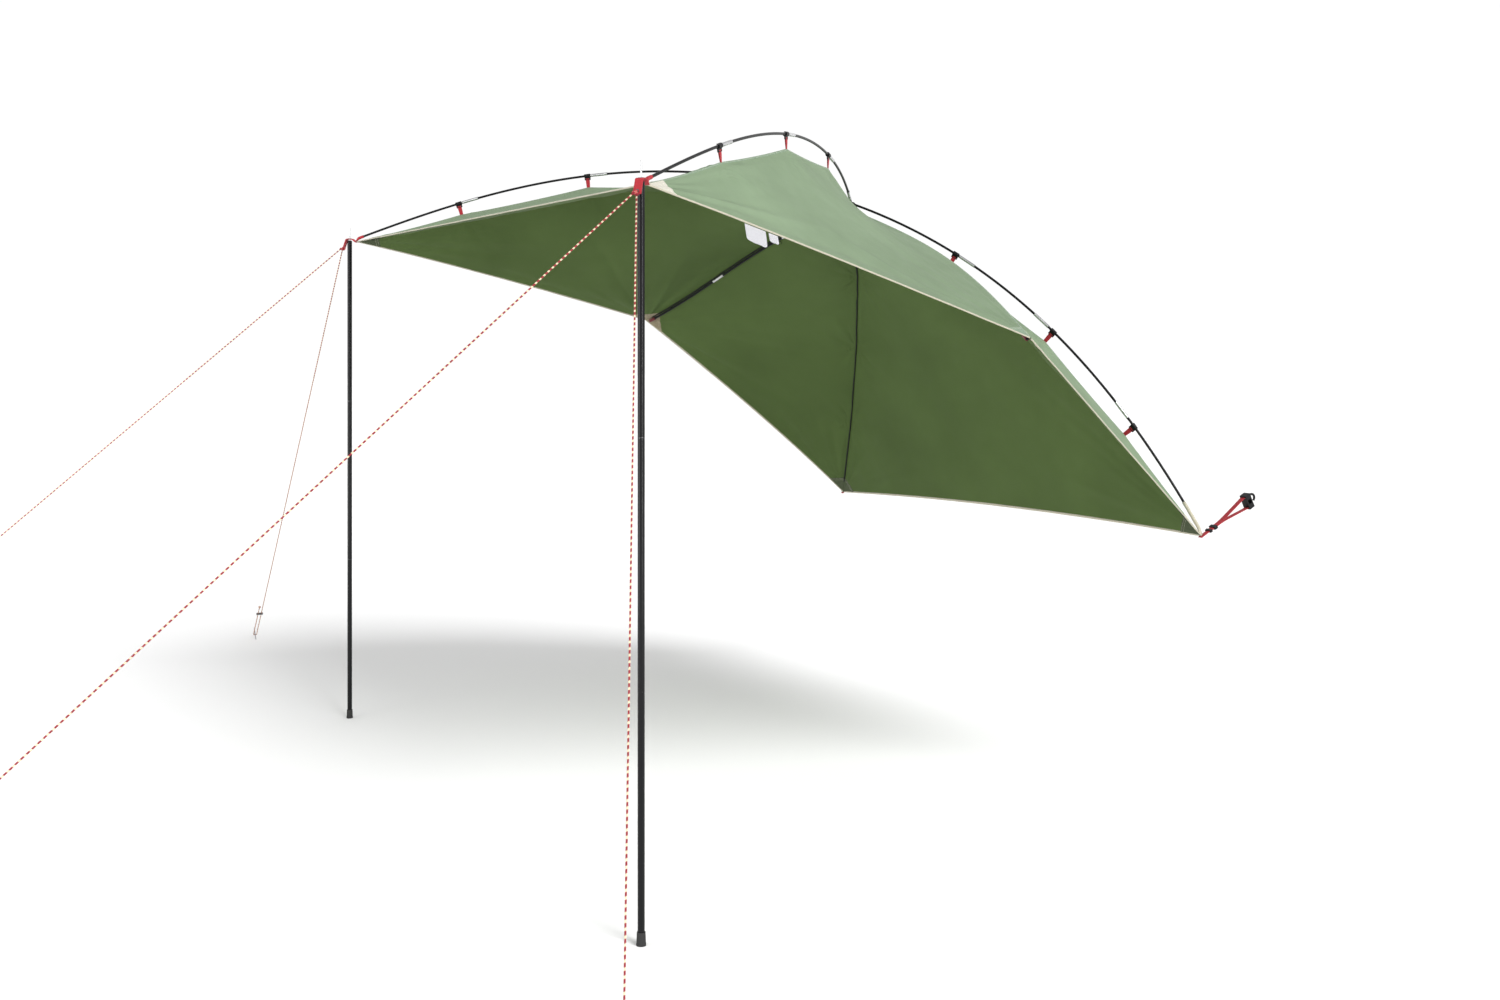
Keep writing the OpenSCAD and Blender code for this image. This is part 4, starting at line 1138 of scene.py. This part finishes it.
for side, word in SIDES:
    corner, m, run = strap_frame(side)
    stop = run - PLATE_IN
    s = Shape()
    for way in (1, -1):
        pts = [[LEG_START, 0, way * LEG_Z], [LEG_OPEN, 0, way * LEG_Z],
               [(LEG_OPEN + stop) / 2, 0, way * (LEG_HALF_GAP * 0.53)],
               [stop - 0.004, 0, way * LEG_HALF_GAP], [stop + 0.011, 0, way * LEG_HALF_GAP]]
        path = smooth_path(corner + A(pts) @ m.T, 0.004, 0.02)
        s.sweep(path, tape(STRAP_W, STRAP_T), side=m[:, 1])
    s.make(f"{word}_vehicle_webbing", [RED], slot="red_webbing", replaces=[f"{word}_vehicle_strap"])

rear, rear_thread = Shape(), Shape()
for side in (LEFT, RIGHT):
    corner, m, _ = strap_frame(side)
    path = corner + A([[x, 0, 0] for x in linspace(-0.008, 0.034, 16)]) @ m.T
    rear.sweep(path, tape(STRAP_W, STRAP_T), side=m[:, 1])
    for way in (1, -1):
        for x in (-0.005, -0.001, 0.010, 0.014):
            row = corner + A([[x, y, way * STRAP_T / 2] for y in (-0.008, 0.008)]) @ m.T
            dashes(rear_thread, row, m[:, 2] * way, 0.0034, 0.0022)
rear.make("rear_webbing_sewn", [RED], slot="red_webbing", replaces=["rear_webbing"])
rear_thread.make("rear_webbing_stitching", [RED_THREAD], slot="red_webbing")

# ---- labels
EDGE_D = unit(cloth(1, A([0.35]), A([0.0]))[0] - cloth(1, A([0.22]), A([0.0]))[0])
LABEL_TILT, LABEL_HALF_T = math.radians(-36), 0.0003
TILT = A([[1, 0, 0], [0, math.cos(LABEL_TILT), -math.sin(LABEL_TILT)],
          [0, math.sin(LABEL_TILT), math.cos(LABEL_TILT)]])
# Place along the right front edge, width, height, corner radius, curl
LABELS = {"large": (0.252, 0.070, 0.060, 0.010, 0.0022), "small": (0.296, 0.031, 0.034, 0.008, -0.0016)}
for word, (place, w, h, radius, curl) in LABELS.items():
    e, f = (flat_cloth(1, A([place]), A([t]))[0] for t in (0.0, 0.01))
    pivot = e - unit(f - e) * 0.0045 - UP * 0.0019
    m = rot_to(EDGE_D) @ TILT
    nu, nv = 25, 21
    x, y = linspace(-1, 1, nu), linspace(0, 1, nv)[:, None]
    low = np.maximum(y * h - (h - radius), 0)
    half = w / 2 - (radius - np.sqrt(np.maximum(radius ** 2 - low ** 2, 0)))
    bend = curl * y ** 2 * (0.6 + 0.4 * x) + 0.0006 * sin(5 * x + 3 * y) * y
    front = stack(np.broadcast_arrays(x * half, bend, -0.001 - y * h), -1)
    uv = front[..., [0, 2]]
    s = Shape()
    halves = [front + A([0, way * LABEL_HALF_T, 0]) for way in (1, -1)]
    for q, flip in zip(halves, (True, False)):
        s.grid(pivot + q @ m.T, uv, flip=flip)
    rim = [(0, i) for i in range(nu)] + [(j, nu - 1) for j in range(1, nv)] \
        + [(nv - 1, i) for i in range(nu - 2, -1, -1)] + [(j, 0) for j in range(nv - 2, 0, -1)]
    band = A([[q[j, i] for j, i in rim] for q in halves])
    band_uv = [[(i * 0.003, y) for i in range(len(rim) + 1)] for y in (0, 2 * LABEL_HALF_T)]
    s.grid(pivot + band @ m.T, band_uv, wrap=True, flip=True)
    for q, way in zip(halves, (1, -1)):
        dashes(s, pivot + q[2, 1:-1] @ m.T, m[:, 1] * way, 0.0034, 0.0022, mat=1)
    s.make(f"{word}_label_cloth", [WHITE, THREAD], body=f"{word}_label", slot="white_cloth",
           replaces=[f"{word}_label"])

# ---- hard parts carried over
LOOKS = {"rod_ferrules": STEEL, "rod_tips": BLACK, "rod_hooks": BLACK, "front_eyelets": DULL,
         "tab_eyelets": DULL, "strap_keepers": BLACK, "guy_pegs": STEEL}
for _, word in SIDES:
    LOOKS |= {f"{word}_{part}": PAINT for part in ("tube_lower", "tube_middle", "tube_upper")}
    LOOKS |= {f"{word}_spigots": STEEL, f"{word}_top_plug": BLACK, f"{word}_spike": STEEL,
              f"{word}_foot": RUBBER, f"{word}_strap_slider": BLACK, f"{word}_vehicle_hook": BLACK,
              f"{word}_front_tensioner": GREY, f"{word}_side_tensioner": GREY}
for node, look in LOOKS.items():
    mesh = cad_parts[node].data
    mesh.materials.clear()
    mesh.materials.append(look)

# ---- studio
FLOOR = Mat("studio_floor", (0.96,) * 3, 0.9)
FLOOR.color(FLOOR.ramp(FLOOR.noise(0.7, 2), (0.955,) * 3, (0.965,) * 3, 0.3, 0.7))
s = Shape()
g = linspace(-60, 60, 9)
gx, gy = np.meshgrid(g, g)
s.grid(stack([gx, gy, np.full_like(gx, GROUND)], -1), [[(a, b) for a in g] for b in g])
s.make("floor", [FLOOR.m], body=None)

world = bpy.data.worlds.new("studio")
scene.world = world
world.use_nodes = True
tree = world.node_tree
height = tree.nodes.new("ShaderNodeSeparateXYZ")
sky = tree.nodes.new("ShaderNodeValToRGB")
tree.links.new(tree.nodes.new("ShaderNodeTexCoord").outputs["Generated"], height.inputs[0])
tree.links.new(height.outputs["Z"], sky.inputs[0])
tree.links.new(sky.outputs[0], tree.nodes["Background"].inputs["Color"])
# White behind the object, greyer overhead
for stop, at, level in zip(sky.color_ramp.elements, (0.42, 0.80), (1.02, 0.42)):
    stop.position, stop.color = at, (level, level, level, 1)


def lamp(name, kind, energy, at, towards, size):
    data = bpy.data.lights.new(name, kind)
    data.energy = energy
    if kind == "AREA":
        data.shape = "RECTANGLE"
        data.size, data.size_y = size
    else:
        data.angle = size
    o = placed(name, data)
    o.location = at
    v = A(towards) - A(at)
    o.rotation_euler = (math.acos(unit(-v)[2]), 0, math.atan2(-v[1], -v[0]) + math.pi / 2)


lamp("key", "SUN", 2.8, (8.5, 1.5, 6.4), (0, 0, 0), math.radians(28))
lamp("fill", "AREA", 110, (1.0, -8.0, 0.2), (0, -1.0, 0.3), (2.5, 2.5))
lamp("strip", "AREA", 60, (7.4, -1.5, 0.5), (1.4, -2.5, 0.3), (0.25, 3.0))
scene.view_settings.view_transform = "Standard"
